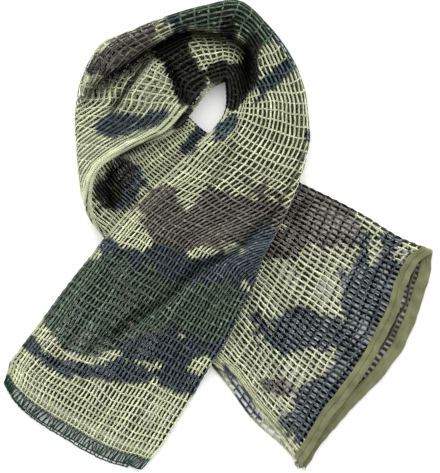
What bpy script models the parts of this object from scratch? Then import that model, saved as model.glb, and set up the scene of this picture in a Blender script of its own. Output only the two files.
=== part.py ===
"""A camouflage net scarf, laid out flat as one loop with one crossing.

The scarf is one length of open knitted mesh, folded once lengthwise, so that it lies as a band of
two layers. Its two long raw edges (selvedges) lie together along one side of the band and the fold
lies along the other. The band starts at its bound end at the lower right, passes under the
crossing, turns over on itself in the left limb of the loop, goes round the neck hole and over the
crossing, and ends at its open end at the lower left.

The net is one solid: a loft of cross-sections, each of which follows the band across from the
selvedges, over the loop's rim and back underneath to the fold. The olive tape that binds the end
is a second solid, folded round the net's raw end on both layers.

Tables are in millimetres, and the model is in metres with +Z up. The origin is at the middle of
the footprint, on the surface that the scarf lies on.
"""
from collections import namedtuple

import bpy
import numpy as np

MM = 0.001

# Driving sizes, in millimetres
SHEET_WIDTH = 445.0         # the folded band's width: half of the 900 mm net, less its turned fold
SHEET_THICK = 1.5           # the knitted mesh, with its thickness of yarn
LAYER_PITCH = 3.5           # between the middles of the two layers
END_PITCH = 4.5             # the same at the bound end, where the tape lies between them too
BASE = 2.5                  # the band's middle height where it lies flat
END_BASE = 4.2              # the same at the bound end
TAPE_COVER = 15.0           # how far the tape reaches over the net
TAPE_BEYOND = 7.0           # how far it stands out past the net's raw end
TAPE_THICK = 0.8
GAP = 0.4                   # between the tape and the net
ROWS_ALONG = 56             # cross-sections of the loft, from the bound end to the open end
TURN_SECTIONS = ("left_1", "over_5")    # where the band's edge turns over
TURN_ROWS = 2.2             # how much closer together the cross-sections are there
TURN_REACH = 40.0           # and how far to each side
POINTS_ACROSS = 20          # points on each layer of a cross-section
SUPPORT_HEIGHT = 11.5       # how far the band beneath lifts the band above at the crossing
DEEPEST_DENT = 0.5          # of a panel's upper layer, below its even height
RIM_POINTS = 4.0            # how much closer together the points are round the rim
RIM_SPAN = 0.06             # and over what share of the width
WIDEST_ROLL = 13.0          # how far in from the rim its quarter turns start
TURN_SHARE = 0.06           # the share of the width that must be past the rim for a full turn
FOOTPRINT_MIDDLE = (-9.5, -0.9)

# A row for each cross-section, from the bound end to the open end. inner and outer are the ends of
# the line across the band, on the neck hole's side and on the loop's outer side. bow is how far
# that line bulges along the band. rim_share is the part of the cloth's width that lies on top,
# between the selvedges and the rim, and rim_height the height of the rim's turn. selvedge is
# where the selvedges lie in plan, and selvedge_height how high.
Section = namedtuple(
    "Section", "name inner outer bow rim_share rim_height selvedge selvedge_height")
SECTIONS = (
    Section("bound_end", (388, -31), (157, -431), 0, 0.00, 2.5, (157, -431), 2.5),
    Section("right_1", (328, -3), (114, -390), 0, 0.00, 2.5, (114, -390), 2.5),
    Section("right_2", (265, 36), (60, -343), 0, 0.00, 2.5, (60, -343), 2.5),
    Section("right_3", (204, 68), (20, -289), 0, 0.00, 2.5, (20, -289), 2.5),
    Section("right_4", (146, 96), (-18, -239), 0, 0.00, 2.5, (-18, -239), 2.5),
    Section("under_1", (90, 127), (-72, -176), 0, 0.00, 2.5, (-72, -176), 2.5),
    Section("under_2", (40, 159), (-124, -114), 0, 0.00, 2.5, (-124, -114), 2.5),
    Section("under_3", (-1, 179), (-176, -49), 0, 0.00, 3.0, (-176, -49), 3.0),
    Section("left_0", (-27, 189), (-217, -1), 0, 0.00, 6.0, (-217, -1), 6.0),
    Section("left_1", (-40, 198), (-243, 33), 0, 0.02, 12.0, (-238, 37), 16.0),
    Section("left_2", (-49, 207), (-256, 73), 0, 0.07, 16.0, (-241, 83), 28.0),
    Section("left_3", (-57, 215), (-263, 122), 0, 0.14, 16.0, (-219, 131), 30.0),
    Section("left_4", (-62, 220), (-267, 168), 0, 0.24, 16.0, (-159, 166), 29.0),
    Section("left_5", (-64, 230), (-269, 217), 0, 0.36, 16.0, (-103, 194), 27.0),
    Section("left_6", (-57, 243), (-265, 259), 0, 0.44, 16.0, (-68, 232), 22.0),
    Section("left_7", (-46, 258), (-252, 304), 0, 0.46, 17.0, (-51, 254), 20.0),
    Section("left_8", (-34, 271), (-220, 354), 0, 0.47, 18.0, (-38, 269), 18.0),
    Section("top_1", (-23, 282), (-163, 379), 0, 0.47, 18.0, (-25, 280), 16.0),
    Section("top_2", (-12, 289), (-96, 405), 0, 0.47, 18.0, (-14, 287), 15.0),
    Section("top_3", (-3, 293), (-33, 423), 0, 0.47, 18.0, (-3, 291), 15.0),
    Section("top_4", (7, 295), (33, 432), 0, 0.47, 19.0, (7, 293), 15.0),
    Section("side_1", (12, 289), (85, 387), 0, 0.47, 19.0, (12, 289), 15.0),
    Section("side_2", (14, 274), (128, 328), 0, 0.47, 18.0, (14, 274), 15.0),
    Section("side_3", (14, 256), (152, 270), 0, 0.47, 17.0, (14, 256), 15.0),
    Section("side_4", (12, 239), (159, 220), 0, 0.48, 16.0, (12, 239), 16.0),
    Section("side_5", (5, 220), (161, 176), 0, 0.50, 14.0, (5, 220), 17.0),
    Section("side_6", (-8, 202), (152, 131), 0, 0.53, 12.0, (-8, 202), 17.0),
    Section("side_7", (-25, 183), (139, 94), 0, 0.58, 10.0, (-25, 183), 16.0),
    Section("over_1", (-49, 161), (127, 64), 0, 0.64, 9.5, (-49, 161), 14.0),
    Section("over_2", (-79, 131), (111, 27), 0, 0.71, 9.5, (-79, 131), 11.0),
    Section("over_3", (-113, 100), (92, -8), 0, 0.80, 9.5, (-113, 100), 8.0),
    Section("over_4", (-144, 70), (75, -42), 0, 0.91, 9.5, (-144, 70), 5.0),
    Section("over_5", (-176, 40), (57, -90), 0, 1.00, 8.5, (-176, 40), 3.0),
    Section("front_1", (-213, -3), (31, -144), 0, 1.00, 6.0, (-213, -3), 2.5),
    Section("front_2", (-250, -49), (5, -200), 0, 1.00, 3.5, (-250, -49), 2.5),
    Section("front_3", (-291, -101), (-27, -250), 0, 1.00, 2.5, (-291, -101), 2.5),
    Section("front_4", (-332, -157), (-55, -299), 2, 1.00, 2.5, (-332, -157), 2.5),
    Section("front_5", (-371, -209), (-86, -349), 7, 1.00, 2.5, (-371, -209), 2.5),
    Section("front_6", (-395, -243), (-114, -393), 15, 1.00, 2.5, (-395, -243), 2.5),
    Section("open_end", (-405, -272), (-139, -423), 24, 1.00, 2.5, (-405, -272), 2.5),
)

# A row for each main crease: the part of the band it lies on, its half width, its height (a
# trough's is negative) and the plan points that it runs through.
Crease = namedtuple("Crease", "name limb width height points")
CREASES = (
    Crease("front_dart", "front", 11, -5, ((116, 85), (75, 25), (20, -27), (-59, -72),
                                           (-133, -129), (-204, -185), (-278, -235))),
    Crease("front_dart_lip", "front", 20, 6, ((127, 57), (86, -8), (31, -60), (-40, -105),
                                              (-114, -161), (-193, -213))),
    Crease("front_swell", "front", 42, 5, ((-12, 38), (-96, -8), (-170, -73), (-235, -148),
                                           (-300, -204))),
    Crease("end_swell", "front", 30, 4, ((-338, -278), (-235, -306), (-133, -352))),
    Crease("bright_ridge", "front", 14, 6, ((20, 191), (-40, 155), (-103, 103))),
    Crease("rim_valley", "loop", 14, -20, ((-233, 282), (-204, 306), (-170, 325), (-133, 345),
                                           (-77, 371), (-18, 377), (31, 364), (55, 326),
                                           (53, 280), (34, 241))),
    Crease("rim_ridge", "loop", 14, 8, ((-248, 282), (-217, 341), (-152, 369), (-86, 397),
                                        (-21, 412), (34, 416), (75, 367), (109, 308))),
    Crease("patch_valley", "loop", 12, -11, ((-215, 211), (-191, 246), (-168, 278),
                                             (-142, 315), (-118, 349))),
    Crease("patch_ridge", "loop", 18, 8, ((-170, 230), (-148, 267), (-114, 315), (-92, 334))),
    Crease("inner_panel", "loop", 24, 12, ((-137, 111), (-100, 144), (-62, 181), (-40, 207))),
    Crease("edge_fold", "right", 14, 6, ((16, -185), (64, -266), (114, -335), (146, -380))),
    Crease("cross_fold", "right", 14, 5, ((75, -75), (127, -120), (202, -142), (250, -161))),
)

# How far the upper-side layer's selvedge stops short of the other (or, if negative, reaches past
# it), by the section at which it does.
SELVEDGE_STEPS = (
    ("bound_end", 0), ("right_1", 8), ("right_2", 16), ("right_3", 18), ("right_4", 4),
    ("under_2", 0), ("left_3", 0), ("left_5", -14), ("top_1", -10), ("side_1", -6),
    ("over_1", 0), ("open_end", 0),
)
SELVEDGE_STEP_REACH = 0.22  # the share of the width over which a step fades out

# How far each layer's raw end stands out past the straight line across the bound end, by the
# share of the width from the selvedges. The two layers have slipped along each other.
BoundEdge = namedtuple("BoundEdge", "share lower upper")
BOUND_EDGE = (
    BoundEdge(0.00, -7, -15), BoundEdge(0.10, -5, -14), BoundEdge(0.22, 4, -13),
    BoundEdge(0.30, 11, -11), BoundEdge(0.38, 21, -8), BoundEdge(0.46, 31, -9),
    BoundEdge(0.54, 36, -9), BoundEdge(0.61, 38, -8), BoundEdge(0.72, 33, -8),
    BoundEdge(0.84, 22, -16), BoundEdge(0.93, 11, -18), BoundEdge(1.00, -4, -4),
)
BOUND_EDGE_REACH = 62.0     # how far along the band the slip fades out
OPEN_EDGE = {"lower": 12.0, "upper": 2.0}      # the same at the open end, all across
OPEN_EDGE_REACH = 45.0

# The edges of the band that lies beneath the crossing, and how far past each the lift fades out.
LOW_EDGE = ((-217.0, -1.0), (-18.0, -239.0))
UP_EDGE = ((-27.0, 189.0), (146.0, 96.0))
LOW_FADE = (-50.0, -12.0)
UP_FADE = (-46.0, -10.0)

LIGHT_OLIVE = (0.42, 0.45, 0.24, 1.0)
TAPE_OLIVE = (0.22, 0.23, 0.12, 1.0)


def ease(value, low=0.0, high=1.0):
    """0 below low, 1 above high, and a smooth S between them."""
    t = np.clip((value - low) / (high - low), 0.0, 1.0)
    return t * t * (3.0 - 2.0 * t)


def through(known, values, at, overshoot=False):
    """A smooth curve through the values at the known places, read at other places.

    It is a cubic Hermite curve. Its slope at a place is the mean of the slopes on both sides,
    weighted by the nearer one, and where overshoot is off it is 0 at each high or low value.
    """
    step = np.diff(known)
    slope = np.diff(values) / step
    tangent = np.empty_like(values)
    tangent[1:-1] = (step[1:] * slope[:-1] + step[:-1] * slope[1:]) / (step[1:] + step[:-1])
    tangent[0], tangent[-1] = slope[0], slope[-1]
    if not overshoot:
        turns = slope[1:] * slope[:-1] <= 0
        tangent[1:-1][turns] = 0.0
        least = np.minimum(np.abs(slope[1:]), np.abs(slope[:-1]))
        tangent[1:-1] = np.clip(tangent[1:-1], -3 * least, 3 * least)
    k = np.clip(np.searchsorted(known, at, side="right") - 1, 0, len(known) - 2)
    t = (at - known[k]) / step[k]
    return ((1 + 2 * t) * (1 - t) ** 2 * values[k] + t * (1 - t) ** 2 * step[k] * tangent[k]
            + t * t * (3 - 2 * t) * values[k + 1] + t * t * (t - 1) * step[k] * tangent[k + 1])


def band_table():
    """Each section's distance along the band's middle line, and the columns of the table."""
    inner = np.array([s.inner for s in SECTIONS], float)
    outer = np.array([s.outer for s in SECTIONS], float)
    selvedge = np.array([s.selvedge for s in SECTIONS], float)
    steps = np.linalg.norm(np.diff((inner + outer) / 2, axis=0), axis=1)
    along = np.concatenate([[0.0], np.cumsum(steps)])
    columns = {
        "inner_x": inner[:, 0], "inner_y": inner[:, 1],
        "outer_x": outer[:, 0], "outer_y": outer[:, 1],
        "selvedge_x": selvedge[:, 0], "selvedge_y": selvedge[:, 1],
        "bow": np.array([s.bow for s in SECTIONS], float),
        "rim_share": np.array([s.rim_share for s in SECTIONS]),
        "rim_height": np.array([s.rim_height for s in SECTIONS]),
        "selvedge_height": np.array([s.selvedge_height for s in SECTIONS]),
    }
    return along, columns


ALONG, COLUMNS = band_table()
BAND_LENGTH = ALONG[-1]
PLACE_OF = {section.name: place for section, place in zip(SECTIONS, ALONG)}


def between(u, start, end):
    """0 before one section, 1 after another, and a smooth S between them."""
    return ease(u, PLACE_OF[start], PLACE_OF[end])


def line_through(points, count=32):
    """A smooth plan line through a crease's points."""
    points = np.array(points, float)
    along = np.concatenate([[0.0], np.cumsum(np.linalg.norm(np.diff(points, axis=0), axis=1))])
    at = np.linspace(0.0, along[-1], count)
    return np.stack([through(along, points[:, k], at, overshoot=True) for k in (0, 1)], -1)


def crease_height(xy, crease):
    """The height that a crease adds: a Gaussian across its line, fading out at both ends."""
    line = line_through(crease.points)
    lengths = np.linalg.norm(np.diff(line, axis=0), axis=1)
    start = np.concatenate([[0.0], np.cumsum(lengths)])
    nearest = np.full(xy.shape[:-1], np.inf)
    place = np.zeros(xy.shape[:-1])
    for k, length in enumerate(lengths):
        way = (line[k + 1] - line[k]) / length
        away = xy - line[k]
        s = np.clip(away @ way, 0.0, length)
        distance = np.linalg.norm(away - s[..., None] * way, axis=-1)
        place = np.where(distance < nearest, start[k] + s, place)
        nearest = np.minimum(distance, nearest)
    share = place / start[-1]
    fade = ease(share, 0.0, 0.22) * ease(1.0 - share, 0.0, 0.22)
    return crease.height * fade * np.exp(-(nearest / crease.width) ** 2)


def relief(xy, limb):
    """The height that all creases of one part of the band add at plan points."""
    return sum(crease_height(xy, crease) for crease in CREASES if crease.limb == limb)


def distance_past(xy, edge):
    """How far plan points lie to the left of a directed edge line."""
    start, end = np.array(edge)
    way = (end - start) / np.linalg.norm(end - start)
    return (xy[..., 0] - start[0]) * -way[1] + (xy[..., 1] - start[1]) * way[0]


def support(xy):
    """How far the band beneath the crossing lifts the one that passes over it."""
    inside_low = ease(distance_past(xy, LOW_EDGE), *LOW_FADE)
    inside_up = ease(-distance_past(xy, UP_EDGE), *UP_FADE)
    return SUPPORT_HEIGHT * inside_low * inside_up


def section_paths(u):
    """The middle of the two-layer band across each section: a fine line from selvedge to fold.

    It runs on top from the selvedges to the rim, round the rim in two quarter turns, and back
    flat underneath to the fold. Where no cloth lies on top, the first run has no length, and
    where none lies beneath, the last one has none. Returns the points, each one's share of the
    cloth's width, the two lifts that creases give it (of the upper layer only, and of both),
    and the unit vectors across the band and along it.
    """
    at = {name: through(ALONG, column, u, overshoot=name.endswith(("_x", "_y")))
          for name, column in COLUMNS.items()}
    inner = np.stack([at["inner_x"], at["inner_y"]], -1)
    outer = np.stack([at["outer_x"], at["outer_y"]], -1)
    selvedge = np.stack([at["selvedge_x"], at["selvedge_y"]], -1)
    rim = at["rim_height"][:, None]
    rim_share = np.clip(at["rim_share"], 0.0, 1.0)[:, None]
    end_rise = (END_BASE - BASE) * (1.0 - ease(u, 18.0, 55.0))[:, None]

    width = np.linalg.norm(outer - inner, axis=1, keepdims=True)
    across = (outer - inner) / width
    forward = np.stack([-across[:, 1], across[:, 0]], -1)
    travel = np.gradient(inner + outer, axis=0)
    forward *= np.sign((travel * forward).sum(-1, keepdims=True))
    top = np.linalg.norm(outer - selvedge, axis=1, keepdims=True)
    top_way = (outer - selvedge) / np.maximum(top, 1.0)
    far = ease(top, 4.0, 30.0)
    top_way = far * top_way + (1.0 - far) * across
    top_way /= np.linalg.norm(top_way, axis=1, keepdims=True)

    shoulder = 2.0 * rim - BASE
    roll = np.minimum(0.5 * (shoulder - BASE), WIDEST_ROLL)
    top_roll = np.minimum(roll, 0.45 * top)
    run = np.linspace(0.0, 1.0, 32)[None, :]
    turn = np.linspace(0.0, np.pi / 2, 7)[None, 1:]
    turned = (np.pi / 2 - np.insert(turn, 0, 0.0, axis=1)) * ease(rim_share, 0.0, TURN_SHARE)
    over_back = top_roll * (1 - np.cos(turned))
    over_z = rim + (shoulder - rim) * np.sin(turned)
    over_xy = outer[:, None] - top_way[:, None] * over_back[:, 1:, None]
    reach = run * (top - over_back[:, :1])
    height = at["selvedge_height"][:, None]
    upper_xy = selvedge[:, None] + top_way[:, None] * reach[..., None]
    upper_z = height + (over_z[:, :1] - height) * ease(run, 0.0, 0.75)
    over_z = over_z[:, 1:]
    turned = turn * ease(1.0 - rim_share, 0.0, TURN_SHARE)
    under_back = roll * (1 - np.cos(turned))
    under_xy = outer[:, None] - across[:, None] * under_back[..., None]
    under_z = rim - (rim - BASE) * np.sin(turned)
    fold_end = np.maximum(width * ease(1.0 - rim_share, 0.0, 0.42), under_back[:, -1:] + 0.01)
    back = under_back[:, -1:] + (fold_end - under_back[:, -1:]) * run[:, 1:]
    lower_xy = outer[:, None] - across[:, None] * back[..., None]
    lower_z = under_z[:, -1:] + 0.0 * back

    xy = np.concatenate([upper_xy, over_xy, under_xy, lower_xy], 1)
    z = np.concatenate([upper_z, over_z, under_z, lower_z], 1) + end_rise
    one = np.ones_like(rim)
    bottom_seen = 1.0 - ease(rim_share, 0.02, 0.2)
    seen = np.concatenate([one + 0.0 * run, np.cos(turn) * one,
                           bottom_seen * (1.0 - np.cos(turn)), bottom_seen + 0.0 * back], 1)
    place = ((xy - inner[:, None]) * across[:, None]).sum(-1) / width
    bulge = 1.0 - np.clip(np.abs(2.0 * place - 1.0), 0.0, 1.0) ** 4
    xy = xy + forward[:, None] * (at["bow"][:, None] * bulge)[..., None]

    right = (1.0 - between(u, "right_3", "under_1"))[:, None] * ease(u, 16.0, 60.0)[:, None]
    loop = (between(u, "left_0", "left_2") * (1.0 - between(u, "side_5", "over_1")))[:, None]
    front = between(u, "side_2", "side_4")[:, None]
    panel = right * relief(xy, "right") + front * relief(xy, "front")
    panel = np.maximum(panel, -DEEPEST_DENT) * seen
    roll_lift = loop * relief(xy, "loop") * seen
    z = z + between(u, "side_2", "side_3")[:, None] * support(xy)

    spans = np.linalg.norm(np.diff(xy, axis=1), axis=-1)
    steps = np.hypot(spans, np.diff(z + panel + roll_lift, axis=1)) + 1e-6
    on_top = run.shape[1] + turn.shape[1]
    first = np.cumsum(np.insert(steps[:, :on_top - 1], 0, 0.0, axis=1), axis=1)
    second = np.cumsum(steps[:, on_top - 1:], axis=1)
    share = np.concatenate([rim_share * first / first[:, -1:],
                            rim_share + (1.0 - rim_share) * second / second[:, -1:]], 1)
    lifts = np.stack([panel, roll_lift], -1)
    return np.concatenate([xy, z[..., None]], -1), share, lifts, across, forward


def read_rows(values, share, wanted):
    """Each row's values, read where its rising share has the wanted values."""
    rows, count = share.shape
    order = 2.0 * np.arange(rows)[:, None]
    rising = share + 1e-9 * np.arange(count)[None, :]
    rising = rising / rising[:, -1:]
    index = np.arange(rows * count, dtype=float)
    at = np.interp((wanted + order).ravel(), (rising + order).ravel(), index)
    at = np.clip(at.reshape(wanted.shape) - count * np.arange(rows)[:, None], 0, count - 1)
    low = np.minimum(at.astype(int), count - 2)
    part = at - low
    if values.ndim == 3:
        low, part = low[..., None], part[..., None]
    first = np.take_along_axis(values, low, 1)
    return first + (np.take_along_axis(values, low + 1, 1) - first) * part


def cloth_shares(u):
    """The shares of the cloth's width at which each section has its points.

    They are even where the band lies flat, and closer together round the loop's rim.
    """
    rim_share = np.clip(through(ALONG, COLUMNS["rim_share"], u), 0.0, 1.0)[:, None]
    fine = np.linspace(0.0, 1.0, 201)[None, :]
    rolled = ease(through(ALONG, COLUMNS["rim_height"], u), 3.5, 8.0)[:, None]
    weight = 1.0 + RIM_POINTS * rolled * np.exp(-((fine - rim_share) / RIM_SPAN) ** 2)
    total = np.cumsum((weight[:, 1:] + weight[:, :-1]) / 2, axis=1)
    total = np.insert(total, 0, 0.0, axis=1) / total[:, -1:]
    even = np.linspace(0.0, 1.0, POINTS_ACROSS)
    return np.stack([np.interp(even, row, fine[0]) for row in total])


def layer(u, shares, side, offset, past_fold=0.0):
    """Points on one layer of the net, offset from its middle surface.

    side is +1 for the layer on the outside of the loop's roll and -1 for the one inside it.
    offset is along the layer's outward normal, and past_fold moves the last points on past the
    fold's edge.
    """
    points, share, lifts, across, forward = section_paths(u)
    path = read_rows(points, share, shares)
    panel, roll_lift = np.moveaxis(read_rows(lifts, share, shares), -1, 0)
    tangent = np.gradient(path, axis=1)
    tangent /= np.linalg.norm(tangent, axis=-1, keepdims=True)
    run = np.linalg.norm(tangent[..., :2], axis=-1, keepdims=True)
    flat = tangent[..., :2] / np.maximum(run, 1e-6)
    normal = np.concatenate([-flat * tangent[..., 2:], run], -1)
    normal *= np.where((tangent[..., :2] * across[:, None]).sum(-1, keepdims=True) < 0, -1, 1)
    pitch = END_PITCH + (LAYER_PITCH - END_PITCH) * ease(u, 18.0, 55.0)
    placed = path + normal * side * pitch[:, None, None] / 2
    placed[..., 2] += panel * ease(normal[..., 2] * side, -0.2, 0.2) + roll_lift
    if side < 0:
        names, steps = zip(*SELVEDGE_STEPS)
        step = through(np.array([PLACE_OF[n] for n in names]), np.array(steps, float), u)
        fade = np.clip(1.0 - shares / SELVEDGE_STEP_REACH, 0.0, 1.0) ** 2
        placed += tangent * (step[:, None] * fade)[..., None]
    edge = np.array([row.lower if side > 0 else row.upper for row in BOUND_EDGE], float)
    out = through(np.array([row.share for row in BOUND_EDGE]), edge, shares)
    shift = -out * np.exp(-(u / BOUND_EDGE_REACH) ** 2)[:, None]
    held = np.exp(-((BAND_LENGTH - u) / OPEN_EDGE_REACH) ** 2)[:, None]
    shift += OPEN_EDGE["upper" if side > 0 else "lower"] * held * (1.0 - ease(shares, 0.88, 1.0))
    placed[..., :2] += forward[:, None] * shift[..., None]
    placed[:, -1] += tangent[:, -1] * past_fold
    placed[..., 2] = np.maximum(placed[..., 2], SHEET_THICK / 2)
    placed += normal * offset
    placed[..., :2] -= FOOTPRINT_MIDDLE
    return placed


def loft(name, rings, mirrored=None):
    """A closed loft: triangles between neighbouring rings of points, and a strip on each end.

    rings is rows x ring points x 3, in millimetres. The ring's first half is matched with its
    second half, backwards, to close the two ends. Where a ring's edge is mirrored, its squares
    are divided along the other diagonal, so that both faces of a sheet are divided alike.
    """
    rows, size, _ = rings.shape
    number = np.arange(rows * size).reshape(rows, size)
    after = np.roll(number, -1, axis=1)
    a, b, c, d = number[:-1], number[1:], after[1:], after[:-1]
    if mirrored is None:
        mirrored = np.zeros(size, bool)
    other = np.broadcast_to(mirrored, a.shape)[..., None]
    first = np.where(other, np.stack([a, b, d], -1), np.stack([a, b, c], -1))
    second = np.where(other, np.stack([b, c, d], -1), np.stack([a, c, d], -1))
    faces = first.reshape(-1, 3).tolist() + second.reshape(-1, 3).tolist()
    near, far = number[:, :size // 2], number[:, ::-1][:, :size // 2]
    for row, way in ((0, 1), (rows - 1, -1)):
        strip = np.stack([near[row, :-1], near[row, 1:], far[row, 1:], far[row, :-1]], -1)
        faces += strip[:, ::way].tolist()
    mesh = bpy.data.meshes.new(name)
    mesh.from_pydata((rings.reshape(-1, 3) * MM).tolist(), [], faces)
    mesh.update()
    return mesh


def row_places():
    """Where the net's cross-sections are: closer together where the band's edge turns over."""
    fine = np.linspace(TAPE_COVER, BAND_LENGTH, 801)
    near = [np.exp(-((fine - PLACE_OF[name]) / TURN_REACH) ** 2) for name in TURN_SECTIONS]
    weight = 1.0 + TURN_ROWS * sum(near)
    total = np.insert(np.cumsum((weight[1:] + weight[:-1]) / 2), 0, 0.0)
    rows = np.interp(np.linspace(0.0, total[-1], ROWS_ALONG - 1), total, fine)
    return np.concatenate([[0.0], rows])


def net_rings():
    """The net's cross-sections: out along one layer and back along the other, then inside."""
    u = row_places()
    shares = cloth_shares(u)
    half = SHEET_THICK / 2
    outside = [layer(u, shares, side, side * half) for side in (1, -1)]
    inside = [layer(u, shares, side, -side * half, -SHEET_THICK) for side in (-1, 1)]
    return np.concatenate([outside[0], outside[1][:, ::-1], inside[0], inside[1][:, ::-1]], 1)


def tape_rings():
    """The binding's profiles, one after the other along the net's raw end on both layers."""
    u = np.array([-TAPE_BEYOND, -GAP, TAPE_COVER])
    shares = cloth_shares(u)
    near = SHEET_THICK / 2 + GAP
    far = near + TAPE_THICK
    legs = []
    for side in (1, -1):
        outer_far = layer(u, shares, side, side * far, GAP + TAPE_THICK)
        outer_near = layer(u, shares, side, side * near, GAP)
        inner_near = layer(u, shares, side, -side * near, -SHEET_THICK - GAP)
        inner_far = layer(u, shares, side, -side * far, -SHEET_THICK - GAP - TAPE_THICK)
        legs.append(np.stack([outer_far[2], outer_far[0], inner_far[0], inner_far[2],
                              inner_near[2], inner_near[1], outer_near[1], outer_near[2]], 1))
    return np.concatenate([legs[0], legs[1][::-1]])


def fabric(name, colour):
    """A matt cloth material."""
    material = bpy.data.materials.new(name)
    material.use_nodes = True
    shader = material.node_tree.nodes["Principled BSDF"]
    shader.inputs["Base Color"].default_value = colour
    shader.inputs["Roughness"].default_value = 0.9
    shader.inputs["Metallic"].default_value = 0.0
    return material


def add_piece(collection, name, mesh, material):
    """Puts a mesh into the part's collection as one named object."""
    mesh.materials.append(material)
    piece = bpy.data.objects.new(name, mesh)
    collection.objects.link(piece)
    return piece


def main():
    """Builds the net and its binding."""
    for left in list(bpy.data.objects):
        bpy.data.objects.remove(left, do_unlink=True)
    collection = bpy.data.collections.new("net_scarf")
    bpy.context.scene.collection.children.link(collection)
    mirrored = np.repeat([False, True, False, True], POINTS_ACROSS)
    add_piece(collection, "net", loft("net", net_rings(), mirrored),
              fabric("net_cloth", LIGHT_OLIVE))
    add_piece(collection, "end_binding", loft("end_binding", tape_rings()),
              fabric("binding_tape", TAPE_OLIVE))


main()
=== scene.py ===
"""A camouflage net scarf, laid out on a pale floor as one loop with one crossing.

The net is knitted: pillars of chain stitches run along the band, and softer rungs of yarn run
across them. Here each of them is a flattened tube that follows the cloth's surface, and the dye
lies on the yarn in woodland patches. An olive tape binds one end, and the other end is left as an
open row of loops. Tables are in millimetres, and the model is in metres with +Z up.
"""

import logging
from dataclasses import dataclass
from enum import Enum

import bpy
import numpy as np
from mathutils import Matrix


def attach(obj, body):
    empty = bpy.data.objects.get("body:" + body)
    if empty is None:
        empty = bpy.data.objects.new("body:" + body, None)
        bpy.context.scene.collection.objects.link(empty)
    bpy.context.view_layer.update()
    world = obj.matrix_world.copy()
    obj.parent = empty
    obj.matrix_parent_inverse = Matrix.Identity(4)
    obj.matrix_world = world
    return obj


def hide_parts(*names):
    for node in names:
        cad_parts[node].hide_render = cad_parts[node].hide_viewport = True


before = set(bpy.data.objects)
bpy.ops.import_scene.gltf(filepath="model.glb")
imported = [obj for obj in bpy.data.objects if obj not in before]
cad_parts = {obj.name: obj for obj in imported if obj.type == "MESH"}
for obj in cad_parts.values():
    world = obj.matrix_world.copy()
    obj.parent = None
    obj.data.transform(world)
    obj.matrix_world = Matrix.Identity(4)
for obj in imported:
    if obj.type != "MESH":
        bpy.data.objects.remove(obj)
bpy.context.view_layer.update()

MM = 0.001
FOOTPRINT_MIDDLE = (-9.5, -0.9)     # of the tables' own frame
log = logging.getLogger("net_scarf")


class Layer(Enum):
    """The band's two layers, by the way that each faces away from the band's middle."""

    OUTSIDE = 1
    INSIDE = -1


class Limb(Enum):
    """The parts of the band that creases and dye patches belong to."""

    RIGHT = "right"
    LOOP = "loop"
    FRONT = "front"


class DyeAndShade(Enum):
    """The net's dyes, and a painted shade for yarn that lies deep in shadow, as linear colours."""

    LIGHT_OLIVE = (0.44, 0.465, 0.305)
    BROWN = (0.112, 0.106, 0.088)
    DARK_GREEN = (0.078, 0.108, 0.076)
    NAVY = (0.054, 0.068, 0.076)
    # painted shade: a near-black colour for yarn where the folds fall into shadow, not a printed
    # colour
    SHADE = (0.024, 0.024, 0.020)


@dataclass(frozen=True)
class Section:
    """One cross-section of the band.

    inner and outer are the ends of the line across the band, on the neck hole's side and on the
    loop's outer side. bow is how far that line bulges along the band. rim_share is the part of
    the cloth's width that lies on top, between the selvedges and the rim, and rim_height is the
    height of the rim's turn. selvedge is where the selvedges lie in plan.
    """

    name: str
    inner: tuple
    outer: tuple
    bow: float
    rim_share: float
    rim_height: float
    selvedge: tuple
    selvedge_height: float


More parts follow.
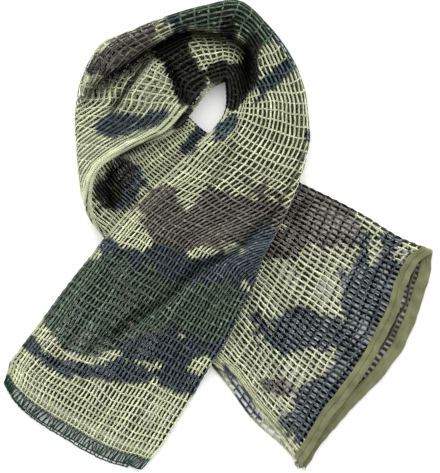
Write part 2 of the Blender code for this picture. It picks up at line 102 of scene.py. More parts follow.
SECTIONS = (
    Section("bound_end", (388, -31), (157, -431), 0, 0.00, 2.5, (157, -431), 2.5),
    Section("right_1", (328, -3), (114, -390), 0, 0.00, 2.5, (114, -390), 2.5),
    Section("right_2", (265, 36), (60, -343), 0, 0.00, 2.5, (60, -343), 2.5),
    Section("right_3", (204, 68), (20, -289), 0, 0.00, 2.5, (20, -289), 2.5),
    Section("right_4", (146, 96), (-18, -239), 0, 0.00, 2.5, (-18, -239), 2.5),
    Section("under_1", (90, 127), (-72, -176), 0, 0.00, 2.5, (-72, -176), 2.5),
    Section("under_2", (40, 159), (-124, -114), 0, 0.00, 2.5, (-124, -114), 2.5),
    Section("under_3", (-1, 179), (-176, -49), 0, 0.00, 3.0, (-176, -49), 3.0),
    Section("left_0", (-27, 189), (-217, -1), 0, 0.00, 6.0, (-217, -1), 6.0),
    Section("left_1", (-40, 198), (-243, 33), 0, 0.02, 12.0, (-238, 37), 16.0),
    Section("left_2", (-49, 207), (-256, 73), 0, 0.07, 16.0, (-241, 83), 28.0),
    Section("left_3", (-57, 215), (-263, 122), 0, 0.14, 16.0, (-219, 131), 30.0),
    Section("left_4", (-62, 220), (-267, 168), 0, 0.24, 16.0, (-159, 166), 29.0),
    Section("left_5", (-64, 230), (-269, 217), 0, 0.36, 16.0, (-103, 194), 27.0),
    Section("left_6", (-57, 243), (-265, 259), 0, 0.44, 16.0, (-68, 232), 22.0),
    Section("left_7", (-46, 258), (-252, 304), 0, 0.46, 17.0, (-51, 254), 20.0),
    Section("left_8", (-34, 271), (-220, 354), 0, 0.47, 18.0, (-38, 269), 18.0),
    Section("top_1", (-23, 282), (-163, 379), 0, 0.47, 18.0, (-25, 280), 16.0),
    Section("top_2", (-12, 289), (-96, 405), 0, 0.47, 18.0, (-14, 287), 15.0),
    Section("top_3", (-3, 293), (-33, 423), 0, 0.47, 18.0, (-3, 291), 15.0),
    Section("top_4", (7, 295), (33, 432), 0, 0.47, 19.0, (7, 293), 15.0),
    Section("side_1", (12, 289), (85, 387), 0, 0.47, 19.0, (12, 289), 15.0),
    Section("side_2", (14, 274), (128, 328), 0, 0.47, 18.0, (14, 274), 15.0),
    Section("side_3", (14, 256), (152, 270), 0, 0.47, 17.0, (14, 256), 15.0),
    Section("side_4", (12, 239), (159, 220), 0, 0.48, 16.0, (12, 239), 16.0),
    Section("side_5", (5, 220), (161, 176), 0, 0.48, 14.0, (5, 220), 17.0),
    Section("side_6", (-8, 202), (152, 131), 0, 0.49, 12.0, (-8, 202), 17.0),
    Section("side_7", (-25, 183), (139, 94), 0, 0.51, 10.0, (-25, 183), 16.0),
    Section("over_1", (-49, 161), (127, 64), 0, 0.55, 9.5, (-49, 161), 14.0),
    Section("over_2", (-79, 131), (111, 27), 0, 0.63, 9.5, (-79, 131), 11.0),
    Section("over_3", (-113, 100), (92, -8), 0, 0.75, 9.5, (-113, 100), 8.0),
    Section("over_4", (-144, 70), (75, -42), 0, 0.89, 9.5, (-144, 70), 5.0),
    Section("over_5", (-176, 40), (57, -90), 0, 1.00, 8.5, (-176, 40), 3.0),
    Section("front_1", (-213, -3), (31, -144), 0, 1.00, 6.0, (-213, -3), 2.5),
    Section("front_2", (-250, -49), (5, -200), 0, 1.00, 3.5, (-250, -49), 2.5),
    Section("front_3", (-291, -101), (-27, -250), 0, 1.00, 2.5, (-291, -101), 2.5),
    Section("front_4", (-332, -157), (-55, -299), 2, 1.00, 2.5, (-332, -157), 2.5),
    Section("front_5", (-371, -209), (-86, -349), 7, 1.00, 2.5, (-371, -209), 2.5),
    Section("front_6", (-395, -243), (-114, -393), 15, 1.00, 2.5, (-395, -243), 2.5),
    Section("open_end", (-405, -272), (-139, -423), 24, 1.00, 2.5, (-405, -272), 2.5),
)


@dataclass(frozen=True)
class Crease:
    """A ridge (or, with a negative height, a trough) that runs through plan points.

    lean makes it steeper on the line's left, and shade is how far painted shade darkens the yarn
    in it.
    """

    name: str
    width: float
    height: float
    points: tuple
    lean: float = 0.0
    shade: float = 0.0


CREASES = {
    Limb.FRONT: (
        Crease("front_dart", 9, -13, (
            (110, 75), (75, 25), (25, -27), (-45, -62), (-95, -110), (-140, -145), (-204, -185),
            (-278, -235)), shade=0.6),
        Crease("front_dart_lip", 18, 11, (
            (127, 57), (86, -8), (31, -60), (-40, -105), (-114, -161), (-193, -213))),
        Crease("front_swell", 38, 8, (
            (-12, 38), (-96, -8), (-170, -73), (-235, -148), (-300, -204))),
        Crease("end_swell", 30, 4, ((-338, -278), (-235, -306), (-133, -352))),
        Crease("bright_ridge", 12, 6, ((20, 191), (-40, 155), (-103, 103))),
        Crease("bend_trough", 8, -7, ((31, 230), (20, 168), (1, 122), (-33, 81)), shade=0.3),
        Crease("side_fold", 4, -5, (
            (156, 180), (146, 139), (127, 94), (94, 38), (75, 0)), shade=0.8),
    ),
    Limb.LOOP: (
        Crease("rim_valley", 15, -30, (
            (-310, 215), (-270, 246), (-233, 275), (-205, 296), (-170, 318), (-140, 338),
            (-105, 360), (-70, 378), (-30, 376), (5, 370), (30, 362), (50, 340), (56, 305),
            (50, 265), (34, 235), (18, 200)), lean=0.5, shade=1.0),
        Crease("rim_ridge", 14, 12, (
            (-248, 282), (-217, 341), (-152, 369), (-86, 397), (-21, 412), (34, 416), (75, 367),
            (109, 308))),
        Crease("patch_valley", 7, -18, (
            (-215, 211), (-191, 246), (-168, 278), (-142, 315), (-118, 349)), shade=0.9),
        Crease("patch_far_valley", 12, -12, (
            (-112, 345), (-92, 305), (-72, 262), (-55, 225)), lean=0.3, shade=0.5),
        Crease("under_selvedge", 8, -3, (
            (-100, 196), (-140, 168), (-178, 148), (-200, 120), (-206, 88), (-196, 48),
            (-180, 20)), shade=1.0),
        Crease("patch_ridge", 16, 11, ((-170, 230), (-148, 267), (-114, 315), (-92, 334))),
        Crease("edge_trough", 9, -6, (
            (-222, 178), (-170, 178), (-129, 194), (-100, 217), (-74, 241))),
        Crease("inner_curl", 9, 8, ((-29, 323), (1, 334), (20, 315))),
        Crease("inner_panel", 22, 13, ((-137, 111), (-100, 144), (-62, 181), (-40, 207))),
        Crease("pocket_roll", 9, 7, ((-144, 126), (-163, 92), (-181, 51))),
    ),
    Limb.RIGHT: (
        Crease("edge_fold_1", 7, 6, ((8, -191), (53, -278), (101, -343), (146, -392))),
        Crease("edge_fold_2", 6, 6, ((34, -180), (75, -254), (127, -328), (165, -373))),
        Crease("edge_fold_3", 6, 5, ((64, -113), (87, -176), (116, -254), (146, -310))),
        Crease("cross_fold", 10, 5, ((75, -75), (127, -120), (202, -142), (250, -161))),
        Crease("tape_slack", 12, 3, ((354, -49), (317, -120), (280, -204))),
    ),
}


@dataclass(frozen=True)
class Blotch:
    """One patch of a dyed colour or of painted shade: an ellipse in plan, whose edge wanders
    unevenly.
    """

    dye_and_shade: DyeAndShade
    centre: tuple
    half_length: float
    half_width: float
    turn: float


# The patches in the near-black shade colour are painted shadow in the loop's folds, not a printed
# colour.
BLOTCHES = {
    Limb.LOOP: (
        Blotch(DyeAndShade.SHADE, (-226, 312), 30, 17, 30),
        Blotch(DyeAndShade.BROWN, (-181, 338), 74, 30, 33),
        Blotch(DyeAndShade.LIGHT_OLIVE, (-217, 352), 22, 9, 40),
        Blotch(DyeAndShade.BROWN, (-137, 375), 41, 17, 32),
        Blotch(DyeAndShade.LIGHT_OLIVE, (-114, 390), 7, 15, -10),
        Blotch(DyeAndShade.NAVY, (-73, 405), 37, 26, 12),
        Blotch(DyeAndShade.SHADE, (-86, 349), 45, 24, 25),
        Blotch(DyeAndShade.DARK_GREEN, (-10, 412), 63, 32, 8),
        Blotch(DyeAndShade.DARK_GREEN, (53, 392), 52, 28, -50),
        Blotch(DyeAndShade.SHADE, (16, 382), 15, 22, -10),
        Blotch(DyeAndShade.SHADE, (51, 308), 56, 20, 86),
        Blotch(DyeAndShade.NAVY, (120, 356), 56, 17, -55),
        Blotch(DyeAndShade.LIGHT_OLIVE, (90, 330), 17, 26, -55),
        Blotch(DyeAndShade.NAVY, (88, 282), 63, 15, 43),
        Blotch(DyeAndShade.LIGHT_OLIVE, (53, 252), 28, 9, 40),
        Blotch(DyeAndShade.NAVY, (10, 202), 32, 13, 52),
        Blotch(DyeAndShade.NAVY, (159, 181), 11, 7, 80),
        Blotch(DyeAndShade.NAVY, (-185, 204), 43, 22, 3),
        Blotch(DyeAndShade.NAVY, (-133, 211), 37, 13, 22),
        Blotch(DyeAndShade.SHADE, (-73, 312), 67, 30, -64),
        Blotch(DyeAndShade.SHADE, (-55, 274), 41, 24, 62),
        Blotch(DyeAndShade.LIGHT_OLIVE, (-16, 341), 46, 30, -30),
        Blotch(DyeAndShade.SHADE, (5, 304), 33, 19, 15),
        Blotch(DyeAndShade.SHADE, (23, 274), 50, 22, 80),
        Blotch(DyeAndShade.NAVY, (-44, 181), 37, 13, 55),
        Blotch(DyeAndShade.SHADE, (-68, 211), 26, 9, 52),
        Blotch(DyeAndShade.NAVY, (-181, 85), 48, 39, 55),
        Blotch(DyeAndShade.SHADE, (-193, 88), 48, 26, 62),
        Blotch(DyeAndShade.SHADE, (-211, 88), 30, 13, 80),
    ),
    Limb.FRONT: (
        Blotch(DyeAndShade.DARK_GREEN, (-152, -129), 208, 112, 32),
        Blotch(DyeAndShade.NAVY, (7, -185), 112, 112, 0),
        Blotch(DyeAndShade.BROWN, (-49, 18), 156, 61, 12),
        Blotch(DyeAndShade.BROWN, (-118, 60), 45, 24, 32),
        Blotch(DyeAndShade.BROWN, (46, 33), 45, 45, 0),
        Blotch(DyeAndShade.BROWN, (90, 25), 41, 41, 0),
        Blotch(DyeAndShade.LIGHT_OLIVE, (-59, 81), 32, 20, 62),
        Blotch(DyeAndShade.NAVY, (-124, -55), 115, 37, -4),
        Blotch(DyeAndShade.NAVY, (-198, -38), 48, 28, -42),
        Blotch(DyeAndShade.NAVY, (-12, -75), 102, 37, 18),
        Blotch(DyeAndShade.NAVY, (72, -49), 37, 74, -10),
        Blotch(DyeAndShade.LIGHT_OLIVE, (-254, -315), 223, 71, -22),
        Blotch(DyeAndShade.DARK_GREEN, (-241, -120), 115, 71, 38),
        Blotch(DyeAndShade.DARK_GREEN, (-133, -142), 112, 45, 22),
        Blotch(DyeAndShade.DARK_GREEN, (-18, -135), 67, 52, 25),
        Blotch(DyeAndShade.NAVY, (-133, -209), 93, 26, 10),
        Blotch(DyeAndShade.NAVY, (-66, -254), 63, 45, -28),
        Blotch(DyeAndShade.NAVY, (-315, -226), 74, 20, -36),
        Blotch(DyeAndShade.NAVY, (-211, -252), 93, 20, -4),
        Blotch(DyeAndShade.LIGHT_OLIVE, (-170, 7), 45, 32, -35),
        Blotch(DyeAndShade.LIGHT_OLIVE, (-36, -31), 26, 9, 5),
        Blotch(DyeAndShade.LIGHT_OLIVE, (-330, -185), 39, 15, -48),
        Blotch(DyeAndShade.LIGHT_OLIVE, (-271, -226), 45, 9, -12),
        Blotch(DyeAndShade.LIGHT_OLIVE, (-200, -220), 26, 9, 15),
        Blotch(DyeAndShade.LIGHT_OLIVE, (-42, -241), 20, 17, 10),
    ),
    Limb.RIGHT: (
        Blotch(DyeAndShade.BROWN, (179, 36), 108, 48, -32),
        Blotch(DyeAndShade.BROWN, (103, -18), 56, 32, -10),
        Blotch(DyeAndShade.NAVY, (280, -101), 115, 50, 75),
        Blotch(DyeAndShade.NAVY, (317, -31), 45, 37, -30),
        Blotch(DyeAndShade.LIGHT_OLIVE, (289, -31), 32, 11, 80),
        Blotch(DyeAndShade.LIGHT_OLIVE, (343, -27), 26, 9, 62),
        Blotch(DyeAndShade.NAVY, (161, -181), 89, 43, -4),
        Blotch(DyeAndShade.NAVY, (235, -243), 86, 32, 60),
        Blotch(DyeAndShade.LIGHT_OLIVE, (176, -235), 37, 24, -18),
        Blotch(DyeAndShade.NAVY, (179, -321), 71, 41, 48),
        Blotch(DyeAndShade.BROWN, (109, -284), 37, 15, -15),
        Blotch(DyeAndShade.NAVY, (42, -300), 71, 11, -58),
    ),
}

# How far the inside layer's selvedge stops short of the outside layer's (or, if negative, reaches
# past it), by section.
SELVEDGE_STEPS = (
    ("bound_end", 0), ("right_1", 10), ("right_2", 20), ("right_3", 20), ("right_4", 4),
    ("under_2", 0), ("left_3", 0), ("left_5", -14), ("top_1", -10), ("side_1", -6),
    ("over_1", 0), ("open_end", 0),
)


@dataclass(frozen=True)
class BoundEdge:
    """How far each layer's raw end stands out, at a share of the width from the selvedges."""

    share: float
    lower: float
    upper: float


BOUND_EDGE = (
    BoundEdge(0.00, -7, -15), BoundEdge(0.10, -5, -14), BoundEdge(0.22, 4, -13),
    BoundEdge(0.30, 11, -8), BoundEdge(0.38, 21, -3), BoundEdge(0.46, 31, 0),
    BoundEdge(0.54, 36, 1), BoundEdge(0.61, 38, 0), BoundEdge(0.72, 33, -4),
    BoundEdge(0.84, 22, -16), BoundEdge(0.93, 11, -18), BoundEdge(1.00, -4, -4),
)


def ease(value: np.ndarray, low: float = 0.0, high: float = 1.0) -> np.ndarray:
    """0 below low, 1 above high, and the cubic 3t^2 - 2t^3 between them."""
    t = np.clip((value - low) / (high - low), 0.0, 1.0)
    return t * t * (3.0 - 2.0 * t)


def bell(away: np.ndarray, width: float | np.ndarray) -> np.ndarray:
    """The bell curve exp(-(away / width)^2), which is 1 at 0 and fades on both sides of it."""
    return np.exp(-(away / width) ** 2)


def unit(vectors: np.ndarray) -> np.ndarray:
    """Vectors divided by their lengths."""
    return vectors / np.maximum(np.linalg.norm(vectors, axis=-1, keepdims=True), 1e-9)


def travelled(points: np.ndarray, axis: int = 0) -> np.ndarray:
    """How far each point lies along its line: the running sum of the steps between points."""
    steps = np.linalg.norm(np.diff(points, axis=axis), axis=-1)
    return np.insert(np.cumsum(steps, axis=axis), 0, 0.0, axis=axis)


def through(known: np.ndarray, values: np.ndarray, at: np.ndarray,
            overshoot: bool = False) -> np.ndarray:
    """A smooth curve through known values: a cubic Hermite curve.

    Its slope at a place is the mean of the slopes on both sides, weighted by the nearer one,
    and where overshoot is off it is 0 at each high or low value.

    Args:
        known: The places, rising.
        values: The value at each of them.
        at: The places to read.
        overshoot: Whether the curve may pass its known highs and lows.

    Returns:
        The curve's value at each place that is read.
    """
    step = np.diff(known)
    slope = np.diff(values) / step
    tangent = np.empty_like(values)
    tangent[1:-1] = (step[1:] * slope[:-1] + step[:-1] * slope[1:]) / (step[1:] + step[:-1])
    tangent[0], tangent[-1] = slope[0], slope[-1]
    if not overshoot:
        tangent[1:-1][slope[1:] * slope[:-1] <= 0] = 0.0
        least = np.minimum(np.abs(slope[1:]), np.abs(slope[:-1]))
        tangent[1:-1] = np.clip(tangent[1:-1], -3 * least, 3 * least)
    k = np.clip(np.searchsorted(known, at, side="right") - 1, 0, len(known) - 2)
    t = (at - known[k]) / step[k]
    return ((1 + 2 * t) * (1 - t) ** 2 * values[k] + t * (1 - t) ** 2 * step[k] * tangent[k]
            + t * t * (3 - 2 * t) * values[k + 1] + t * t * (t - 1) * step[k] * tangent[k + 1])


@dataclass(frozen=True)
class Ripples:
    """A smooth uneven field: a sum of sine waves in many directions, with a spread of about 1."""

    wavelength: float
    seed: int
    waves: int = 14

    def at(self, x: np.ndarray, y: np.ndarray) -> np.ndarray:
        """The field at plan places: the sum of sin(kx x + ky y + phase), over its waves.

        Args:
            x: The first coordinate, in millimetres.
            y: The second one, of the same shape.

        Returns:
            The field's value at each place.
        """
        chance = np.random.default_rng(self.seed)
        way = chance.uniform(0.0, 2.0 * np.pi, self.waves)
        length = self.wavelength * chance.uniform(0.65, 1.5, self.waves)
        phase = chance.uniform(0.0, 2.0 * np.pi, self.waves)
        total = np.zeros(np.broadcast(x, y).shape)
        for k in range(self.waves):
            turn = 2.0 * np.pi / length[k]
            total += np.sin(turn * (np.cos(way[k]) * x + np.sin(way[k]) * y) + phase[k])
        return total * np.sqrt(2.0 / self.waves)


@dataclass(frozen=True)
class BandForm:
    """The folded band's surface: where each layer of the cloth lies.

    Sizes are in millimetres. base is the height of the band's middle where it lies flat, which
    the sections' table takes as table_base, and puff is how far the upper layer stands clear of
    the lower one between creases. The end_ values hold at the taped end, and give way to the
    others within end_run. low_edge and up_edge are the edges of the run beneath the crossing,
    which lifts the band that passes over it by up to support_height. open_back is how far each
    layer stops short at the open end, and facing_up is the range of a normal's height in which
    a layer begins to take the upper one's lift.
    """

    sheet_width: float = 445.0
    layer_pitch: float = 3.5
    end_pitch: float = 5.6
    base: float = 3.4
    end_base: float = 5.7
    end_run: tuple = (18.0, 55.0)
    table_base: float = 2.5
    lowest: float = 1.6
    puff: float = 4.5
    puff_edge: float = 0.10
    puff_run: tuple = (16.0, 60.0)
    wrinkle: float = 1.1
    wrinkle_length: float = 46.0
    deepest: float = -0.5
    support_height: float = 11.5
    support_low: tuple = (-50.0, -12.0)
    support_up: tuple = (-46.0, -10.0)
    low_edge: tuple = ((-217.0, -1.0), (-18.0, -239.0))
    up_edge: tuple = ((-27.0, 189.0), (146.0, 96.0))
    widest_roll: float = 13.0
    roll_of_top: float = 0.45
    short_top: tuple = (4.0, 30.0)
    climb: float = 0.75
    fold_share: float = 0.42
    beneath: tuple = (0.02, 0.2)
    turn_share: float = 0.06
    step_reach: float = 0.22
    bound_reach: float = 62.0
    open_reach: float = 45.0
    open_back: tuple = ((Layer.OUTSIDE, 24.0), (Layer.INSIDE, 9.0))
    open_fold: float = 0.88
    facing_up: tuple = (-0.2, 0.2)
    crease_fade: float = 0.22
    crease_points: int = 28
    run_points: int = 90
    turn_points: int = 10

    @property
    def middle(self) -> np.ndarray:
        """The band's middle line: half of inner plus outer, at each section."""
        return np.array([np.add(s.inner, s.outer) / 2 for s in SECTIONS], float)

    @property
    def along(self) -> np.ndarray:
        """Each section's distance along the middle line."""
        return travelled(self.middle)

    @property
    def length(self) -> float:
        """The middle line's length."""
        return float(self.along[-1])

    def place(self, name: str) -> float:
        """The distance along the band of a section, by its name."""
        return float(self.along[[s.name for s in SECTIONS].index(name)])

    def between(self, u: np.ndarray, start: str, end: str) -> np.ndarray:
        """0 before one section, 1 after another, and a smooth S between them."""
        return ease(u, self.place(start), self.place(end))

    def column(self, u: np.ndarray, field: str, axis: int | None = None) -> np.ndarray:
        """One column of the sections' table, read along the band as a smooth curve.

        Args:
            u: Distances along the band.
            field: The column's name.
            axis: 0 or 1 for a plan point's coordinate, and None for a plain number.

        Returns:
            The column's value at each distance.
        """
        values = [getattr(s, field) for s in SECTIONS]
        if axis is not None:
            values = [value[axis] for value in values]
        return through(self.along, np.array(values, float), u, overshoot=axis is not None)

    def plan(self, u: np.ndarray, field: str) -> np.ndarray:
        """A plan point's column of the table, read along the band."""
        return np.stack([self.column(u, field, 0), self.column(u, field, 1)], -1)

    def height(self, u: np.ndarray, field: str) -> np.ndarray:
        """A height's column of the table, read along the band, for one value a row."""
        return self.column(u, field)[:, None] + self.base - self.table_base

    def crease_share(self, xy: np.ndarray, crease: Crease) -> np.ndarray:
        """How much of a crease's full height there is at plan points, from 0 to 1.

        It is a bell curve of the distance to the smooth line through its points, and it fades
        out towards both ends of the line. The bell's width is (1 - lean) times as great on the
        line's left, and (1 + lean) times on its right.

        Args:
            xy: Plan points, with the coordinates last.
            crease: The crease.

        Returns:
            The share at each point.
        """
        points = np.array(crease.points, float)
        span = travelled(points)
        at = np.linspace(0.0, span[-1], self.crease_points)
        line = np.stack([through(span, points[:, k], at, overshoot=True) for k in (0, 1)], -1)
        start = travelled(line)
        nearest = np.full(xy.shape[:-1], np.inf)
        where, left = np.zeros(xy.shape[:-1]), np.zeros(xy.shape[:-1])
        for k, length in enumerate(np.diff(start)):
            way = (line[k + 1] - line[k]) / length
            away = xy - line[k]
            s = np.clip(away @ way, 0.0, length)
            distance = np.linalg.norm(away - s[..., None] * way, axis=-1)
            where = np.where(distance < nearest, start[k] + s, where)
            turned = np.sign(way[0] * away[..., 1] - way[1] * away[..., 0])
            left = np.where(distance < nearest, turned, left)
            nearest = np.minimum(distance, nearest)
        share = where / start[-1]
        fade = ease(share, 0.0, self.crease_fade) * ease(1.0 - share, 0.0, self.crease_fade)
        return fade * bell(nearest, crease.width * (1.0 - crease.lean * left))

    def relief(self, xy: np.ndarray, limb: Limb) -> np.ndarray:
        """The sum of the heights that one limb's creases add at plan points."""
        return sum(crease.height * self.crease_share(xy, crease) for crease in CREASES[limb])

    @staticmethod
    def distance_past(xy: np.ndarray, edge: tuple) -> np.ndarray:
        """How far plan points lie to the left of a directed edge line."""
        start, end = np.array(edge)
        way = (end - start) / np.linalg.norm(end - start)
        return (xy[..., 0] - start[0]) * -way[1] + (xy[..., 1] - start[1]) * way[0]

    def support(self, xy: np.ndarray) -> np.ndarray:
        """How far the band beneath the crossing lifts the one that passes over it."""
        low = ease(self.distance_past(xy, self.low_edge), *self.support_low)
        up = ease(-self.distance_past(xy, self.up_edge), *self.support_up)
        return self.support_height * low * up

    def round_rim(self, u: np.ndarray, outer: np.ndarray, across: np.ndarray, width: np.ndarray,
                  rim_share: np.ndarray) -> tuple[np.ndarray, np.ndarray, np.ndarray, int]:
        """The band's path across each section, before it bulges and is lifted.

        It runs on top from the selvedges to the rim as a straight line that rises by a smooth S,
        round the rim in two quarter circles, and back flat underneath to the fold. Where no
        cloth lies on top the first run has no length, and where none lies beneath the last one
        has none.

        Args:
            u: Distances along the band, one for each section.
            outer: The plan points of the rim.
            across: The unit vectors across the band.
            width: The band's widths.
            rim_share: The share of the cloth's width that lies on top.

        Returns:
            The plan points, the heights, how far each point can be seen from above, and how
            many points lie on top.
        """
        rim, selvedge = self.height(u, "rim_height"), self.plan(u, "selvedge")
        top = np.linalg.norm(outer - selvedge, axis=1, keepdims=True)
        far = ease(top, *self.short_top)
        top_way = unit(far * (outer - selvedge) / np.maximum(top, 1.0) + (1.0 - far) * across)
        shoulder = 2.0 * rim - self.base
        roll = np.minimum(0.5 * (shoulder - self.base), self.widest_roll)
        run = np.linspace(0.0, 1.0, self.run_points)[None, :]
        turn = np.linspace(0.0, np.pi / 2, self.turn_points)[None, 1:]

        turned = (np.pi / 2 - np.insert(turn, 0, 0.0, axis=1)) * ease(
            rim_share, 0.0, self.turn_share)
        over_back = np.minimum(roll, self.roll_of_top * top) * (1 - np.cos(turned))
        over_z = rim + (shoulder - rim) * np.sin(turned)
        over_xy = outer[:, None] - top_way[:, None] * over_back[:, 1:, None]
        reach = run * (top - over_back[:, :1])
        start = self.height(u, "selvedge_height")
        upper_xy = selvedge[:, None] + top_way[:, None] * reach[..., None]
        upper_z = start + (over_z[:, :1] - start) * ease(run, 0.0, self.climb)

        turned = turn * ease(1.0 - rim_share, 0.0, self.turn_share)
        under_back = roll * (1 - np.cos(turned))
        under_xy = outer[:, None] - across[:, None] * under_back[..., None]
        under_z = rim - (rim - self.base) * np.sin(turned)
        fold_end = np.maximum(width * ease(1.0 - rim_share, 0.0, self.fold_share),
                              under_back[:, -1:] + 0.01)
        back = under_back[:, -1:] + (fold_end - under_back[:, -1:]) * run[:, 1:]
        lower_xy = outer[:, None] - across[:, None] * back[..., None]

        xy = np.concatenate([upper_xy, over_xy, under_xy, lower_xy], 1)
        z = np.concatenate([upper_z, over_z[:, 1:], under_z, under_z[:, -1:] + 0.0 * back], 1)
        one = np.ones_like(rim)
        shown = 1.0 - ease(rim_share, *self.beneath)
        seen = np.concatenate([one + 0.0 * run, np.cos(turn) * one,
                               shown * (1.0 - np.cos(turn)), shown + 0.0 * back], 1)
        return xy, z, seen, run.size + turn.size

    def lifts(self, u: np.ndarray, xy: np.ndarray, place: np.ndarray,
              seen: np.ndarray) -> tuple[np.ndarray, np.ndarray]:
        """How far the creases, the puff and the wrinkles lift the cloth.

        The puff is puff times a smooth step in from both edges, and the wrinkles are ripples
        times the same step.

        Args:
            u: Distances along the band, one for each section.
            xy: The path's plan points.
            place: Their places across the band, from 0 to 1.
            seen: How far they can be seen from above.

        Returns:
            The lift of the upper layer alone, and that of both layers together.
        """
        right = (1.0 - self.between(u, "right_3", "under_1")) * ease(u, *self.puff_run)
        front = self.between(u, "side_2", "side_4")
        loop = self.between(u, "left_0", "left_2") * (1.0 - self.between(u, "side_5", "over_1"))
        edge = ease(np.minimum(place, 1.0 - place), 0.0, self.puff_edge)
        panel = (right[:, None] * (self.relief(xy, Limb.RIGHT) + self.puff * edge)
                 + front[:, None] * (self.relief(xy, Limb.FRONT) + self.puff * edge))
        wrinkles = Ripples(self.wrinkle_length, 5).at(xy[..., 0], xy[..., 1])
        panel = np.maximum(panel + self.wrinkle * edge * wrinkles, self.deepest) * seen
        return panel, loop[:, None] * self.relief(xy, Limb.LOOP) * seen

    def paths(self, u: np.ndarray) -> tuple[np.ndarray, ...]:
        """The middle of the two-layer band across each section, from selvedge to fold.

        Each section bulges along the band by its bow times 1 - |2 place - 1|^4. A point's share
        of the cloth's width grows with the length of the path, lifts included.

        Args:
            u: Distances along the band, one for each section.

        Returns:
            The points, each point's share of the cloth's width, the lift of the upper layer and
            the lift of both layers, and the unit vectors across the band and along it.
        """
        inner, outer = self.plan(u, "inner"), self.plan(u, "outer")
        width = np.linalg.norm(outer - inner, axis=1, keepdims=True)
        across = (outer - inner) / width
        forward = np.stack([-across[:, 1], across[:, 0]], -1)
        forward *= np.sign((np.gradient(inner + outer, axis=0) * forward).sum(-1, keepdims=True))
        rim_share = np.clip(self.column(u, "rim_share"), 0.0, 1.0)[:, None]
        xy, z, seen, on_top = self.round_rim(u, outer, across, width, rim_share)

        place = ((xy - inner[:, None]) * across[:, None]).sum(-1) / width
        bulge = 1.0 - np.clip(np.abs(2.0 * place - 1.0), 0.0, 1.0) ** 4
        xy = xy + forward[:, None] * (self.column(u, "bow")[:, None] * bulge)[..., None]
        panel, both = self.lifts(u, xy, place, seen)
        end_rise = (self.end_base - self.base) * (1.0 - ease(u, *self.end_run))[:, None]
        z = z + end_rise + self.between(u, "side_2", "side_3")[:, None] * self.support(xy)

        spans = np.linalg.norm(np.diff(xy, axis=1), axis=-1)
        steps = np.hypot(spans, np.diff(z + panel + both, axis=1)) + 1e-6
        first = np.cumsum(np.insert(steps[:, :on_top - 1], 0, 0.0, axis=1), axis=1)
        second = np.cumsum(steps[:, on_top - 1:], axis=1)
        share = np.concatenate([rim_share * first / first[:, -1:],
                                rim_share + (1.0 - rim_share) * second / second[:, -1:]], 1)
        lifts = np.stack([panel, both], -1)
        return np.concatenate([xy, z[..., None]], -1), share, lifts, across, forward

    @staticmethod
    def read_rows(values: np.ndarray, share: np.ndarray, wanted: np.ndarray) -> np.ndarray:
        """Each row's values, read by straight lines where its rising share is as wanted.

        Args:
            values: Rows of numbers or of vectors.
            share: Each row's rising share, from 0 to 1.
            wanted: The shares to read, row by row.

        Returns:
            The values at the wanted shares.
        """
        rows, count = share.shape
        order = 2.0 * np.arange(rows)[:, None]
        rising = share + 1e-9 * np.arange(count)[None, :]
        rising = rising / rising[:, -1:]
        at = np.interp((wanted + order).ravel(), (rising + order).ravel(),
                       np.arange(rows * count, dtype=float))
        at = np.clip(at.reshape(wanted.shape) - count * np.arange(rows)[:, None], 0, count - 1)
        low = np.minimum(at.astype(int), count - 2)
        part = at - low
        if values.ndim == 3:
            low, part = low[..., None], part[..., None]
        first = np.take_along_axis(values, low, 1)
        return first + (np.take_along_axis(values, low + 1, 1) - first) * part

    def end_shift(self, u: np.ndarray, shares: np.ndarray, side: Layer) -> np.ndarray:
        """How far a layer is moved along the band near its two raw ends.

        The bound end stands out as BOUND_EDGE says and the open end stops short by open_back,
        each times a bell curve of the distance from that end.

        Args:
            u: Distances along the band, one for each row.
            shares: The shares of the width, row by row.
            side: The layer.

        Returns:
            The distances.
        """
        edge = [row.lower if side is Layer.OUTSIDE else row.upper for row in BOUND_EDGE]
        out = through(np.array([row.share for row in BOUND_EDGE]), np.array(edge, float), shares)
        shift = -out * bell(u, self.bound_reach)[:, None]
        held = dict(self.open_back)[side] * bell(self.length - u, self.open_reach)[:, None]
        return shift - held * (1.0 - ease(shares, self.open_fold, 1.0))

    def layer(self, u: np.ndarray, shares: np.ndarray,
              side: Layer) -> tuple[np.ndarray, np.ndarray]:
        """Points on one layer: the band's middle path, moved half the pitch along its normal.

        Args:
            u: Distances along the band, one for each row.
            shares: The shares of the width to read, row by row.
            side: The layer.

        Returns:
            The points and the normals that face away from the band's middle, in millimetres.
        """
        points, share, lifts, across, forward = self.paths(u)
        path = self.read_rows(points, share, shares)
        panel, both = np.moveaxis(self.read_rows(lifts, share, shares), -1, 0)
        tangent = unit(np.gradient(path, axis=1))
        run = np.linalg.norm(tangent[..., :2], axis=-1, keepdims=True)
        flat = tangent[..., :2] / np.maximum(run, 1e-6)
        normal = np.concatenate([-flat * tangent[..., 2:], run], -1)
        ahead = (tangent[..., :2] * across[:, None]).sum(-1, keepdims=True)
        normal *= np.where(ahead < 0, -1, 1)
        pitch = self.end_pitch + (self.layer_pitch - self.end_pitch) * ease(u, *self.end_run)
        way = side.value
        placed = path + normal * way * pitch[:, None, None] / 2
        placed[..., 2] += panel * ease(normal[..., 2] * way, *self.facing_up) + both
        if side is Layer.INSIDE:
            names, steps = zip(*SELVEDGE_STEPS)
            step = through(np.array([self.place(n) for n in names]), np.array(steps, float), u)
            fade = np.clip(1.0 - shares / self.step_reach, 0.0, 1.0) ** 2
            placed += tangent * (step[:, None] * fade)[..., None]
        placed[..., :2] += forward[:, None] * self.end_shift(u, shares, side)[..., None]
        placed[..., 2] = np.maximum(placed[..., 2], self.lowest)
        placed[..., :2] -= FOOTPRINT_MIDDLE
        return placed, normal * way


